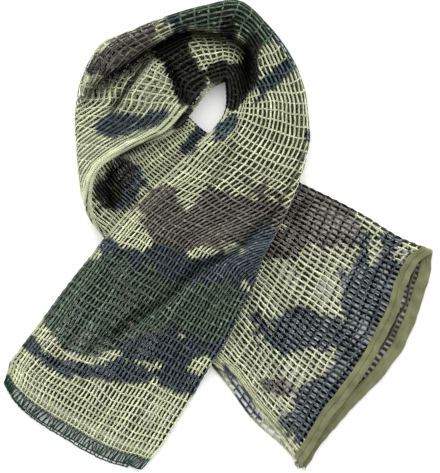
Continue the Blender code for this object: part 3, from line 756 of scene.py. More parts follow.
class LayerSurface:
    """One layer's surface as a fine grid, read at any place by straight lines between its points.

    Past the ends of the grid, its last lines are carried straight on.
    """

    def __init__(self, form: BandForm, side: Layer, rows: int = 620, columns: int = 190) -> None:
        """Samples the layer.

        Args:
            form: The band's surface.
            side: The layer.
            rows: How many rows of points lie along the band.
            columns: How many points each row has across it.
        """
        self.form = form
        self.rows, self.columns = rows, columns
        u = np.linspace(0.0, form.length, rows)
        shares = np.tile(np.linspace(0.0, 1.0, columns), (rows, 1))
        self.points, outward = form.layer(u, shares, side)
        normals = unit(np.cross(np.gradient(self.points, axis=0),
                                np.gradient(self.points, axis=1)))
        facing = (normals * outward).sum(-1, keepdims=True)
        normals *= np.where(facing < 0, -1, 1)
        sure = ease(np.abs(facing), 0.1, 0.5)
        self.normals = unit(normals * sure + outward * (1.0 - sure))

    def at(self, u: np.ndarray, share: np.ndarray) -> tuple[np.ndarray, np.ndarray]:
        """Reads the surface.

        Args:
            u: Distances along the band.
            share: Shares of the cloth's width, of the same shape.

        Returns:
            The surface's points and its outward normals.
        """
        row = u / self.form.length * (self.rows - 1)
        column = share * (self.columns - 1)
        i = np.clip(row.astype(int), 0, self.rows - 2)
        j = np.clip(column.astype(int), 0, self.columns - 2)
        s, t = (row - i)[..., None], (column - j)[..., None]
        found = []
        for grid in (self.points, self.normals):
            near = grid[i, j] * (1 - t) + grid[i, j + 1] * t
            far = grid[i + 1, j] * (1 - t) + grid[i + 1, j + 1] * t
            found.append(near * (1 - s) + far * s)
        return found[0], unit(found[1])


@dataclass(frozen=True)
class CamouflageDyeAndShade:
    """The yarn's colour: light olive under patches of brown, dark green, navy and painted shade.

    edge is how far the patches' edges wander and fade how soft they are, as shares of their
    size. wander holds the size, wavelength and seed of the ripples in those edges. fleck is how
    unevenly the yarn has been dyed, with fleck_sizes for dark and for light yarn, and crease_dark
    how far painted shade darkens the yarn in the deepest crease. Lengths are in millimetres.
    """

    form: BandForm
    edge: float = 0.13
    fade: float = 0.08
    wander: tuple = ((0.8, 70.0, 21), (0.6, 24.0, 22))
    fleck: float = 0.2
    fleck_length: float = 9.0
    fleck_sizes: tuple = (1.7, 0.6)
    fleck_tones: tuple = (0.1, 0.4)
    crease_dark: float = 0.96
    slip: tuple = (5.0, -3.0)
    lightest: float = 0.8

    def limb_share(self, u: np.ndarray, limb: Limb) -> np.ndarray:
        """1 on the stretch of the band that a limb's patches are on, and 0 elsewhere."""
        past = u >= self.form.place("left_0")
        return np.where(past == (limb is not Limb.RIGHT), 1.0, 0.0)

    def cover(self, xy: np.ndarray, wander: np.ndarray, patch: Blotch) -> np.ndarray:
        """How far a patch covers plan points: 1 inside its edge, 0 outside, smooth between.

        Its edge is where the distance from its centre, in half sizes, plus wander is 1.

        Args:
            xy: Plan points, with the coordinates last.
            wander: How far the edge is moved inwards at each point.
            patch: The patch.

        Returns:
            The share of each point's colour that the patch's dye takes.
        """
        turn = np.radians(patch.turn)
        away = xy - patch.centre
        along = away @ np.array([np.cos(turn), np.sin(turn)]) / patch.half_length
        aside = away @ np.array([-np.sin(turn), np.cos(turn)]) / patch.half_width
        return 1.0 - ease(np.hypot(along, aside) + wander, 1.0 - self.fade, 1.0 + self.fade)

    def colour(self, points: np.ndarray, u: np.ndarray, side: Layer) -> np.ndarray:
        """The dye at points of one layer.

        A later patch covers an earlier one. Painted shade darkens the yarn deep in a crease by
        crease_dark times the crease's share there, and all of it is worn by exp(fleck x ripples),
        more so where it is dark.

        Args:
            points: Points in millimetres, with the coordinates last.
            u: Their distances along the band.
            side: Their layer, which the folding has moved a little against the other.

        Returns:
            A linear colour for each point.
        """
        slip = np.array(self.slip) * (side is Layer.INSIDE) + FOOTPRINT_MIDDLE
        xy = points[..., :2] + slip
        x, y = xy[..., 0], xy[..., 1]
        wander = self.edge * sum(size * Ripples(length, seed).at(x, y)
                                 for size, length, seed in self.wander)
        dye_and_shade = np.broadcast_to(np.array(DyeAndShade.LIGHT_OLIVE.value), points.shape).copy()
        for limb, patches in BLOTCHES.items():
            here = self.limb_share(u, limb)
            for patch in patches:
                cover = (self.cover(xy, wander, patch) * here)[..., None]
                dye_and_shade += (np.array(patch.dye_and_shade.value) - dye_and_shade) * cover
        # Painted shade: the yarn in shaded creases is darkened as if by the fold's shadow.
        for limb, creases in CREASES.items():
            here = self.crease_dark * self.limb_share(u, limb)
            for crease in creases:
                if crease.shade:
                    depth = crease.shade * self.form.crease_share(xy, crease)
                    dye_and_shade *= 1.0 - (depth * here)[..., None]
        dark, light = self.fleck_sizes
        uneven = self.fleck * (dark + (light - dark) * ease(dye_and_shade[..., 1], *self.fleck_tones))
        worn = np.exp(uneven * Ripples(self.fleck_length, 23).at(x, y))
        return np.minimum(dye_and_shade * worn[..., None], self.lightest)


UNDERSIDE = (-0.3, 0.9)     # where round a strand its painted underside shade begins and is full, from -1 to 1


@dataclass
class StrandSet:
    """Flattened tubes: rings of points round centre lines, closed at both ends."""

    rings: np.ndarray
    colours: np.ndarray
    along: np.ndarray

    @classmethod
    def sweep(cls, centres: np.ndarray, normals: np.ndarray, half_width: np.ndarray,
              half_thick: np.ndarray, colours: np.ndarray, reverse: np.ndarray,
              sides: int = 6) -> "StrandSet":
        """Carries a flat ellipse along centre lines.

        A ring's point is centre + half_width cos(a) side + half_thick sin(a) up, where up is the
        cloth's normal and side is square to it and to the line.

        Args:
            centres: Lines of points, lines x points x 3, in millimetres.
            normals: The cloth's normal at each point.
            half_width: Half of the strand's width at each point.
            half_thick: Half of its thickness at each point.
            colours: The linear colour at each point.
            reverse: How much of that colour the strand's reverse keeps under its painted shade, at
                each point.
            sides: How many points each ring has.

        Returns:
            The strands.
        """
        way = unit(np.gradient(centres, axis=1))
        side = unit(np.cross(way, normals))
        up = np.cross(side, way)
        angle = (np.arange(sides) + 0.5) * 2.0 * np.pi / sides
        wide = half_width[..., None, None] * np.cos(angle)[:, None] * side[:, :, None]
        tall = half_thick[..., None, None] * np.sin(angle)[:, None] * up[:, :, None]
        # Painted shade: the ring's points on the strand's underside are darkened towards the
        # reverse share.
        lit = 1.0 - (1.0 - reverse[..., None]) * ease(-np.sin(angle), *UNDERSIDE)
        colours = colours[:, :, None] * lit[..., None]
        return cls(centres[:, :, None] + wide + tall, colours, travelled(centres, axis=1))

    def part(self, start: int, stop: int) -> "StrandSet":
        """The stretch of each strand between two of its points, both of them kept."""
        keep = slice(start, stop + 1)
        return StrandSet(self.rings[:, keep], self.colours[:, keep], self.along[:, keep])

    def faces(self, first: int) -> tuple[np.ndarray, np.ndarray, np.ndarray, np.ndarray]:
        """The tubes' squares and end caps, numbered from first, and their texture places.

        Args:
            first: The number of the set's first point.

        Returns:
            The squares' points, the caps' points, and the texture places of both: x is the way
            round the strand from 0 to 1, and y the distance along it in metres.
        """
        lines, points, sides, _ = self.rings.shape
        number = first + np.arange(lines * points * sides).reshape(lines, points, sides)
        after = np.roll(number, -1, axis=2)
        squares = np.stack([number[:, :-1], number[:, 1:], after[:, 1:], after[:, :-1]], -1)
        low = np.broadcast_to(np.arange(sides) / sides, squares.shape[:3])
        near = np.broadcast_to(self.along[:, :-1, None] * MM, low.shape)
        far = np.broadcast_to(self.along[:, 1:, None] * MM, low.shape)
        high = low + 1.0 / sides
        places = np.stack([np.stack([low, near], -1), np.stack([low, far], -1),
                           np.stack([high, far], -1), np.stack([high, near], -1)], -2)
        caps = np.concatenate([number[:, 0], number[:, -1, ::-1]])
        tops = np.zeros(caps.shape + (2,))
        return squares.reshape(-1, 4), caps, places.reshape(-1, 4, 2), tops


def placed_object(name: str, mesh: bpy.types.Mesh,
                  material: bpy.types.Material) -> bpy.types.Object:
    """Gives a mesh its material, and puts it into the scene at the origin."""
    mesh.materials.append(material)
    made = bpy.data.objects.new(name, mesh)
    bpy.context.scene.collection.objects.link(made)
    return made


class Piece:
    """A finished mesh made of strand sets."""

    def __init__(self, name: str, sets: list[StrandSet], material: bpy.types.Material) -> None:
        """Puts the strands into one mesh object at the origin.

        Args:
            name: The object's name.
            sets: The strands.
            material: What it is made of.
        """
        sides = sets[0].rings.shape[2]
        counts = np.cumsum([0] + [s.rings.size // 3 for s in sets])
        made = [s.faces(int(first)) for s, first in zip(sets, counts)]
        squares, caps = (np.concatenate([m[k] for m in made]) for k in (0, 1))
        places = [np.concatenate([m[k] for m in made]).reshape(-1, 2) for k in (2, 3)]
        points = np.concatenate([s.rings.reshape(-1, 3) for s in sets]) * MM
        colours = np.concatenate([s.colours.reshape(-1, 3) for s in sets])
        starts = np.concatenate([np.arange(len(squares)) * 4,
                                 squares.size + np.arange(len(caps)) * sides])
        mesh = bpy.data.meshes.new(name)
        mesh.vertices.add(len(points))
        mesh.vertices.foreach_set("co", points.ravel())
        mesh.loops.add(squares.size + caps.size)
        mesh.loops.foreach_set("vertex_index", np.concatenate([squares.ravel(), caps.ravel()]))
        mesh.polygons.add(len(starts))
        mesh.polygons.foreach_set("loop_start", starts)
        mesh.polygons.foreach_set("use_smooth", np.ones(len(starts), bool))
        mesh.update(calc_edges=True)
        mesh.uv_layers.new(name="strand").data.foreach_set("uv", np.concatenate(places).ravel())
        # This colour attribute holds the yarn's colour with painted shade in it: shade patches,
        # shaded creases and the strands' darkened reverse.
        dye_and_shade = mesh.color_attributes.new(name="dye_and_shade", type="FLOAT_COLOR", domain="POINT")
        dye_and_shade.data.foreach_set("color", np.insert(colours, 3, 1.0, axis=1).ravel())
        self.object = placed_object(name, mesh, material)


class Graph:
    """The node tree of a material or a world, with one way to add, set and join its nodes."""

    def __init__(self, owner: bpy.types.Material | bpy.types.World) -> None:
        """Turns on the owner's nodes."""
        owner.use_nodes = True
        self.tree = owner.node_tree

    def fill(self, node: bpy.types.Node, inputs: dict) -> bpy.types.Node:
        """Sets a node's inputs.

        Args:
            node: The node.
            inputs: A value, or another node's output, for each input's name or number.

        Returns:
            The same node.
        """
        for socket, value in inputs.items():
            if isinstance(value, bpy.types.NodeSocket):
                self.tree.links.new(value, node.inputs[socket])
            else:
                node.inputs[socket].default_value = value
        return node

    def add(self, kind: str, inputs: dict, **settings: str) -> bpy.types.Node:
        """Adds a node.

        Args:
            kind: Its type, without the words that all shader nodes begin with.
            inputs: What its inputs are set or joined to.
            **settings: Its own settings.

        Returns:
            The node.
        """
        node = self.tree.nodes.new("ShaderNode" + kind)
        for name, value in settings.items():
            setattr(node, name, value)
        return self.fill(node, inputs)


@dataclass(frozen=True)
class ThreadFinish:
    """What the yarn and the tape share: a matt cloth of raised threads with a fuzz on them.

    turns is the number of threads for a whole turn or a metre of the two texture coordinates,
    wave is how high they stand against the fuzz, and depth is the relief's in metres.
    """

    name: str
    uv_map: str
    turns: tuple
    wave: float
    fuzz_scale: float
    fuzz_detail: float
    strength: float
    depth: float
    roughness: float
    specular: float
    sheen: float

    def start(self) -> tuple[bpy.types.Material, Graph, bpy.types.Node, bpy.types.NodeSocket]:
        """Makes the material, with its relief and without its colour.

        The relief is wave x sin(2 pi turns . place) + fuzz, where place is read from the piece's
        own texture places, and the fuzz is a noise on the object's coordinates.

        Returns:
            The material, its graph, its shader and the relief's height.
        """
        material = bpy.data.materials.new(self.name)
        graph = Graph(material)
        place = graph.add("UVMap", {}, uv_map=self.uv_map)
        angle = tuple(2 * np.pi * turn for turn in self.turns)
        around = graph.add("VectorMath", {0: place.outputs["UV"], 1: angle},
                           operation="DOT_PRODUCT")
        thread = graph.add("Math", {0: around.outputs["Value"]}, operation="SINE")
        where = graph.add("TexCoord", {})
        fuzz = graph.add("TexNoise", {"Vector": where.outputs["Object"],
                                      "Scale": self.fuzz_scale, "Detail": self.fuzz_detail})
        height = graph.add("Math", {0: thread.outputs[0], 1: self.wave, 2: fuzz.outputs["Fac"]},
                           operation="MULTIPLY_ADD").outputs[0]
        bump = graph.add("Bump", {"Strength": self.strength, "Distance": self.depth,
                                  "Height": height})
        shader = graph.fill(graph.tree.nodes["Principled BSDF"], {
            "Roughness": self.roughness, "Specular IOR Level": self.specular,
            "Sheen Weight": self.sheen, "Normal": bump.outputs["Normal"]})
        return material, graph, shader, height


@dataclass(frozen=True)
class YarnFinish(ThreadFinish):
    """Matt dyed cotton yarn of two plies, with a twist every 4.2 mm and painted shade between
    them.
    """

    name: str = "net_yarn"
    uv_map: str = "strand"
    turns: tuple = (2.0, 1 / 0.0042, 0.0)
    wave: float = 0.35
    fuzz_scale: float = 420.0
    fuzz_detail: float = 3.0
    strength: float = 0.6
    depth: float = 0.00025
    roughness: float = 0.93
    specular: float = 0.06
    sheen: float = 0.08
    # hollow and tone give painted shade in the relief's hollows, and a little painted light on its
    # raised plies.
    hollow: tuple = (0.1, 0.9)
    tone: tuple = (0.70, 1.15)

    def build(self) -> bpy.types.Material:
        """Makes the material: the yarn's own colour, times a tone that follows the relief: painted
        shade in the hollows between the plies, and a random tone from the fuzz.

        Returns:
            The material.
        """
        material, graph, shader, height = self.start()
        dye_and_shade = graph.add("Attribute", {}, attribute_name="dye_and_shade").outputs["Color"]
        tone = graph.add("MapRange", {"Value": height, "From Min": self.hollow[0],
                                      "From Max": self.hollow[1], "To Min": self.tone[0],
                                      "To Max": self.tone[1]})
        tint = graph.add("VectorMath", {0: dye_and_shade, "Scale": tone.outputs["Result"]},
                         operation="SCALE")
        graph.fill(shader, {"Base Color": tint.outputs[0], "Sheen Tint": dye_and_shade})
        return material


@dataclass(frozen=True)
class TapeFinish(ThreadFinish):
    """Matt woven cotton tape: fine slanting ribs 1.1 mm apart, in a dyed and a worn colour."""

    name: str = "tape_weave"
    uv_map: str = "weave"
    turns: tuple = (1 / 0.0011, 0.25 / 0.0011, 0.0)
    wave: float = 0.3
    fuzz_scale: float = 55.0
    fuzz_detail: float = 5.0
    strength: float = 0.7
    depth: float = 0.0002
    roughness: float = 0.88
    specular: float = 0.25
    sheen: float = 0.1
    dyed: tuple = (0.045, 0.050, 0.020, 1.0)
    worn: tuple = (0.190, 0.198, 0.100, 1.0)
    spread: tuple = (0.05, 0.95)

    def build(self) -> bpy.types.Material:
        """Makes the material: the dyed colour in the relief's hollows, and the worn one on top.

        Returns:
            The material.
        """
        material, graph, shader, height = self.start()
        share = graph.add("MapRange", {"Value": height, "From Min": self.spread[0],
                                       "From Max": self.spread[1]})
        mix = graph.add("Mix", {}, data_type="RGBA")
        graph.fill(mix, {0: share.outputs["Result"], 6: self.dyed, 7: self.worn})
        graph.fill(shader, {"Base Color": mix.outputs[2]})
        return material


@dataclass(frozen=True)
class KnittedNet:
    """The net itself: its pillars, its rungs, its dense selvedges and its open end row.

    Sizes are in millimetres. cloth_length and cloth_width are the flat net's, and covered is the
    share of it that its yarn covers. stretch holds the size and the wavelength of the mesh's
    uneven stretch: broad and fine along the band, and broad and fine across it. The pillars of
    the strip beside the selvedge are bunched where it stands clear and loose elsewhere.

    fold_clear and fold_pillar place the last pillars beside the fold, and a rung turns from one
    layer to the other turn_clear before it, turn_out past that. rung_fade is the range of tones
    in which a rung's painted shade deepens to black, and staggered is the range of distances from
    the fold over which the inside layer's rungs shift by half a pitch.

    The still_ fields are how far from the selvedge, the fold and the open end the uneven stretch
    dies out. reverse_tone is how light the painted shade leaves the yarn's reverse between the
    layers, and lit_selvedge and lit_end are the distances from the selvedge and the open end over
    which its full tone gives way to that. hidden_spread and crowded are how much wider the strands
    are in the lower layer and beside the tape, as shares. The _uneven and _shades fields are the
    ranges of the strands' widths and tones.

    Past let_out the open row begins, open_row long. drawn_back is how far the lower layer and
    the fold stop short of the upper layer there, and end_dark is the row's colour.
    """

    form: BandForm
    dye_and_shade: CamouflageDyeAndShade
    cloth_length: float = 1900.0
    cloth_width: float = 900.0
    covered: float = 0.7
    parts: int = 5
    pillar_pitch: float = 10.2
    pillar_half_width: float = 1.75
    pillar_rise: float = 0.55
    pillar_sway: float = 0.4
    pillar_uneven: tuple = (0.88, 1.12)
    pillar_shades: tuple = (0.8, 1.2)
    knot: float = 0.14
    rung_pitch: float = 15.8
    rung_half_width: float = 1.65
    rung_rise: float = -0.35
    rung_sway: float = 0.6
    rung_waver: tuple = (0.25, 15.0)
    rung_uneven: tuple = (0.85, 1.15)
    rung_lumps: float = 0.08
    rung_shades: tuple = (0.85, 1.12)
    rung_tone: float = 0.92
    rung_fade: tuple = (0.0, 0.05)
    staggered: tuple = (5.0, 60.0)
    first_rung: float = 5.0
    fold_clear: float = 4.0
    fold_pillar: float = 0.4
    turn_clear: float = 2.5
    turn_out: float = 1.2
    half_thick: float = 1.1
    under_tape: tuple = (12.0, 24.0)
    stretch: tuple = ((2.6, 130.0), (0.5, 40.0), (1.6, 130.0), (0.35, 36.0))
    still_selvedge: float = 30.0
    still_fold: float = 25.0
    still_end: float = 40.0
    strip_width: float = 46.0
    strip_bunched: tuple = (0.6, 2.7, 4.8, 12.0, 14.0, 16.0, 22.0, 29.0, 38.0)
    strip_loose: tuple = (0.6, 2.2, 10.6, 11.6, 20.4, 21.4, 30.0, 31.0, 39.0)
    selvedge_dulled: float = 0.18
    dulled_run: tuple = (15.0, 22.0)
    lit_selvedge: tuple = (16.0, 24.0)
    lit_end: tuple = (-16.0, -8.0)
    # reverse_tone and pocket_tone set the painted shade on the yarn's reverse: how deep it is, and
    # how much of it the loop's inside layer loses.
    reverse_tone: float = 0.02
    pocket_tone: float = 0.7
    hidden_spread: float = 0.45
    hidden_tones: tuple = (0.2, 0.6)
    crowded: float = 0.7
    crowded_run: tuple = (26.0, 60.0)
    let_out: float = 9.0
    open_row: float = 19.0
    open_band: float = 4.0
    band_gap: float = 6.0
    drawn_back: float = 16.0
    drawn_run: float = 90.0
    fold_run: float = 60.0
    loop_lean: tuple = (-4.0, 6.0)
    loop_ripple: float = 60.0
    loop_slim: float = 0.3
    slim_run: float = 12.0
    open_rungs: float = 0.8
    end_dark: tuple = (0.014, 0.042, 0.028)

    @property
    def length(self) -> float:
        """Where the mesh ends along the band and its row of open loops begins."""
        return self.form.length + self.let_out

    @property
    def even_end(self) -> float:
        """How far along the band the evenly spaced rungs reach."""
        return self.length - self.open_band - self.band_gap

    def slipped(self, u: np.ndarray, w: np.ndarray,
                side: Layer) -> tuple[np.ndarray, np.ndarray]:
        """Where the uneven stretch of the mesh moves a place of it.

        Args:
            u: Distances along the band.
            w: Distances across it from the selvedge.
            side: The layer.

        Returns:
            The moved distances.
        """
        seed = 40 if side is Layer.OUTSIDE else 60
        moves = [size * Ripples(wavelength, seed + k).at(u, w)
                 for k, (size, wavelength) in enumerate(self.stretch)]
        from_fold = self.form.sheet_width - w
        inside = ease(w, 0.0, self.still_selvedge) * ease(from_fold, 0.0, self.still_fold)
        ends = ease(self.form.length - u, 0.0, self.still_end)
        back = self.drawn_back * ease(u, self.form.length - self.drawn_run, self.form.length)
        if side is Layer.OUTSIDE:
            back = back * (1.0 - ease(from_fold, 0.0, self.fold_run))
        return u + (moves[0] + moves[1]) * ends - back, w + (moves[2] + moves[3]) * inside

    def lines(self, u: np.ndarray, w: np.ndarray, side: Layer, surface: LayerSurface,
              rise: float) -> tuple[np.ndarray, np.ndarray, np.ndarray]:
        """Centre lines on a layer, raised along its normal, with its normals and dye.

        Args:
            u: Distances along the band, lines x points.
            w: Distances across it, of the same shape.
            side: The layer.
            surface: Its surface.
            rise: How far the lines stand out of the cloth's middle.

        Returns:
            The points, the normals and the colours.
        """
        past = np.maximum(u - self.length, 0.0) / self.open_row
        last = ease(u, self.length - self.open_band + 1.0, self.length)
        u, w = self.slipped(u, w, side)
        lean, uneven = self.loop_lean
        ripples = Ripples(self.loop_ripple, 81 + side.value)
        w = w + past * (uneven * ripples.at(w, 0.0 * w) + lean)
        points, normals = surface.at(u, np.clip(w / self.form.sheet_width, 0.0, 1.0))
        colours = self.dye_and_shade.colour(points, u, side)
        colours += (np.array(self.end_dark) - colours) * last[..., None]
        return points + normals * (rise * self.pressed(u))[..., None], normals, colours

    def pressed(self, u: np.ndarray) -> np.ndarray:
        """How thick the yarn is, as a share: it is pressed flat under the binding tape."""
        return 0.5 + 0.5 * ease(u, *self.under_tape)

    def pillar_places(self, side: Layer, u: np.ndarray) -> np.ndarray:
        """The pillars' distances from the selvedge, all along the band.

        They are even past the strip beside the selvedge. In it they are bunched where it stands
        clear, and lie in loose pairs elsewhere.

        Args:
            side: The layer.
            u: Distances along the band.

        Returns:
            The distances, pillars x points.
        """
        bunched = np.array(self.strip_bunched)[:, None]
        loose = np.array(self.strip_loose)[:, None]
        form = self.form
        dense = form.between(u, "left_0", "left_2") * (1.0 - form.between(u, "left_6", "left_8"))
        if side is Layer.INSIDE:
            dense = np.maximum(dense, 1.0 - form.between(u, "right_3", "under_1"))
        strip = loose + (bunched - loose) * dense
        start = self.strip_width + (self.pillar_pitch / 2 if side is Layer.INSIDE else 0.0)
        even = np.arange(start, form.sheet_width - self.fold_clear, self.pillar_pitch)
        edge = [form.sheet_width - self.fold_pillar] if side is Layer.OUTSIDE else []
        even = np.concatenate([even, edge])[:, None] + 0.0 * u
        return np.concatenate([strip, even])

    def reverse(self, u: np.ndarray, w: np.ndarray, side: Layer) -> np.ndarray:
        """How much of its colour the yarn's reverse keeps under painted shade: dark between the
        two layers, and full where it shows.

        Args:
            u: Distances along the band.
            w: Distances across it.
            side: The layer.

        Returns:
            The share of the dye's colour that the reverse has.
        """
        form = self.form
        if side is Layer.OUTSIDE:
            shows = ((1.0 - ease(w, *self.lit_selvedge))
                     * (1.0 - form.between(u, "right_3", "right_4")))
        else:
            start, stop = self.lit_end
            shows = np.maximum(ease(u, form.length + start, form.length + stop),
                               self.pocket_tone * form.between(u, "left_1", "left_2")
                               * (1.0 - form.between(u, "left_8", "top_2")))
        return self.reverse_tone + (1.0 - self.reverse_tone) * shows

    def hidden(self, u: np.ndarray, side: Layer, reverse: np.ndarray) -> np.ndarray:
        """1 where a layer lies beneath the other one, as seen from above, and 0 elsewhere."""
        turned = self.form.between(u, "left_1", "left_4")
        beneath = 1.0 - turned if side is Layer.OUTSIDE else turned
        return beneath * (1.0 - ease(reverse, *self.hidden_tones))

    def pillars(self, side: Layer, surface: LayerSurface, chance: np.random.Generator,
                count: int) -> StrandSet:
        """The chain-stitch pillars of one layer, which sway a little at each rung.

        Args:
            side: The layer.
            surface: Its surface.
            chance: Where the strands' uneven widths come from.
            count: How many points each pillar has.

        Returns:
            The pillars.
        """
        u = np.linspace(1.0, self.length + self.open_row, count)
        w = self.pillar_places(side, u)
        u = np.broadcast_to(u, w.shape)
        phase = 2.0 * np.pi * u / self.rung_pitch + chance.uniform(0, 6.0, (len(w), 1))
        centres, normals, colours = self.lines(u, w + self.pillar_sway * np.cos(phase), side,
                                               surface, self.pillar_rise)
        width = self.pillar_half_width * (1.0 + self.knot * np.cos(2.0 * np.pi * u
                                                                   / self.rung_pitch))
        width = width * chance.uniform(*self.pillar_uneven, (len(w), 1))
        end = ease(u, self.length - self.slim_run, self.length)
        reverse = self.reverse(u, w, side)
        shade = chance.uniform(*self.pillar_shades, (len(w), 1, 1))
        dulled = self.selvedge_dulled * (1.0 - ease(w, *self.dulled_run))
        shade = shade * (1.0 - dulled)[..., None]
        spread = self.hidden_spread * self.hidden(u, side, reverse) * (1.0 - end)
        if side is Layer.OUTSIDE:
            spread = spread + self.crowded * (1.0 - ease(u, *self.crowded_run))
        width = width * (1.0 + spread) * (1.0 - self.loop_slim * end)
        return StrandSet.sweep(centres, normals, width, self.half_thick * self.pressed(u),
                               colours * shade, reverse)

    def rung_places(self) -> np.ndarray:
        """The rungs' distances along the band, with the dense end band and the open row's edge."""
        even = np.arange(self.first_rung, self.even_end, self.rung_pitch)
        dense = [self.length - self.open_band, self.length]
        return np.concatenate([even, dense, [self.length + self.open_row]])

    def rungs(self, surfaces: dict, chance: np.random.Generator) -> StrandSet:
        """The rungs, each of which runs across one layer, round the fold and back on the other.

        Args:
            surfaces: Each layer's surface.
            chance: Where the strands' uneven widths come from.

        Returns:
            The rungs.
        """
        places = self.rung_places()
        sheet = self.form.sheet_width
        w = np.linspace(0.0, sheet - self.turn_clear, int(2.0 * sheet / self.pillar_pitch))
        waver, wavelength = self.rung_waver
        legs = []
        for side in Layer:
            u, across = np.broadcast_arrays(places[:, None], w[None, :])
            moved = self.rung_pitch / 2 * (side is Layer.INSIDE)
            shift = moved * ease(sheet - across, *self.staggered) * (u < self.even_end)
            phase = 2.0 * np.pi * (across - self.strip_width) / self.pillar_pitch
            sway = self.rung_sway * np.cos(phase)
            sway = sway + waver * Ripples(wavelength, 90 + side.value).at(u, across)
            legs.append(self.lines(u + shift + sway, across, side, surfaces[side],
                                   self.rung_rise) + (self.reverse(u, across, side)[..., None],))
        fold = [(a[:, -1:] + b[:, -1:]) / 2 for a, b in zip(*legs)]
        tangent = unit(legs[0][0][:, -1:] - legs[0][0][:, -3:-2])
        fold[0] = fold[0] + tangent * self.turn_out
        fold[1] = unit(tangent)
        centres, normals, colours, reverse = (np.concatenate([a, f, b[:, ::-1]], 1)
                                              for a, f, b in zip(legs[0], fold, legs[1]))
        width = np.full(centres.shape[:2], self.rung_half_width)
        width *= chance.uniform(*self.rung_uneven, (len(places), 1))
        width *= 1.0 + self.rung_lumps * chance.standard_normal(width.shape)
        width[-2:] *= self.open_rungs
        there, back = (self.hidden(places[:, None] + 0.0 * leg[-1][..., 0], side,
                                   leg[-1][..., 0]) for side, leg in zip(Layer, legs))
        under = np.concatenate([there, np.zeros((len(places), 1)), back[:, ::-1]], 1)
        width *= 1.0 + self.hidden_spread * under
        shade = self.rung_tone * chance.uniform(*self.rung_shades, (len(places), 1, 1))
        # Painted shade: rungs whose colour is already near black, as in shaded creases and shade
        # patches, go fully black.
        colours = colours * ease(colours[..., 1:2], *self.rung_fade)
        thick = self.half_thick * self.pressed(np.broadcast_to(places[:, None], width.shape))
        return StrandSet.sweep(centres, normals, width, thick, colours * shade, reverse[..., 0])

    def build(self, material: bpy.types.Material) -> list[bpy.types.Object]:
        """Makes the net, in a few pieces one after the other along the band.

        Args:
            material: The yarn.

        Returns:
            The pieces.
        """
        chance = np.random.default_rng(11)
        surfaces = {side: LayerSurface(self.form, side) for side in Layer}
        step = self.rung_pitch / 4
        count = int((self.length + self.open_row) / step / self.parts) * self.parts + 1
        pillars = [self.pillars(side, surfaces[side], chance, count) for side in Layer]
        rungs = self.rungs(surfaces, chance)
        places = self.rung_places()
        cut = np.linspace(0, count - 1, self.parts + 1).astype(int)
        ends = np.linspace(1.0, self.length + self.open_row, self.parts + 1)
        ends[-1] += 1.0
        pieces = []
        for k in range(self.parts):
            mine = (places >= ends[k]) & (places < ends[k + 1])
            own = StrandSet(rungs.rings[mine], rungs.colours[mine], rungs.along[mine])
            sets = [strands.part(cut[k], cut[k + 1]) for strands in pillars] + [own]
            piece = Piece(f"net_strands_{k + 1}", sets, material).object
            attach(piece, "root")
            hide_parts("net")
            pieces.append(piece)
        return pieces


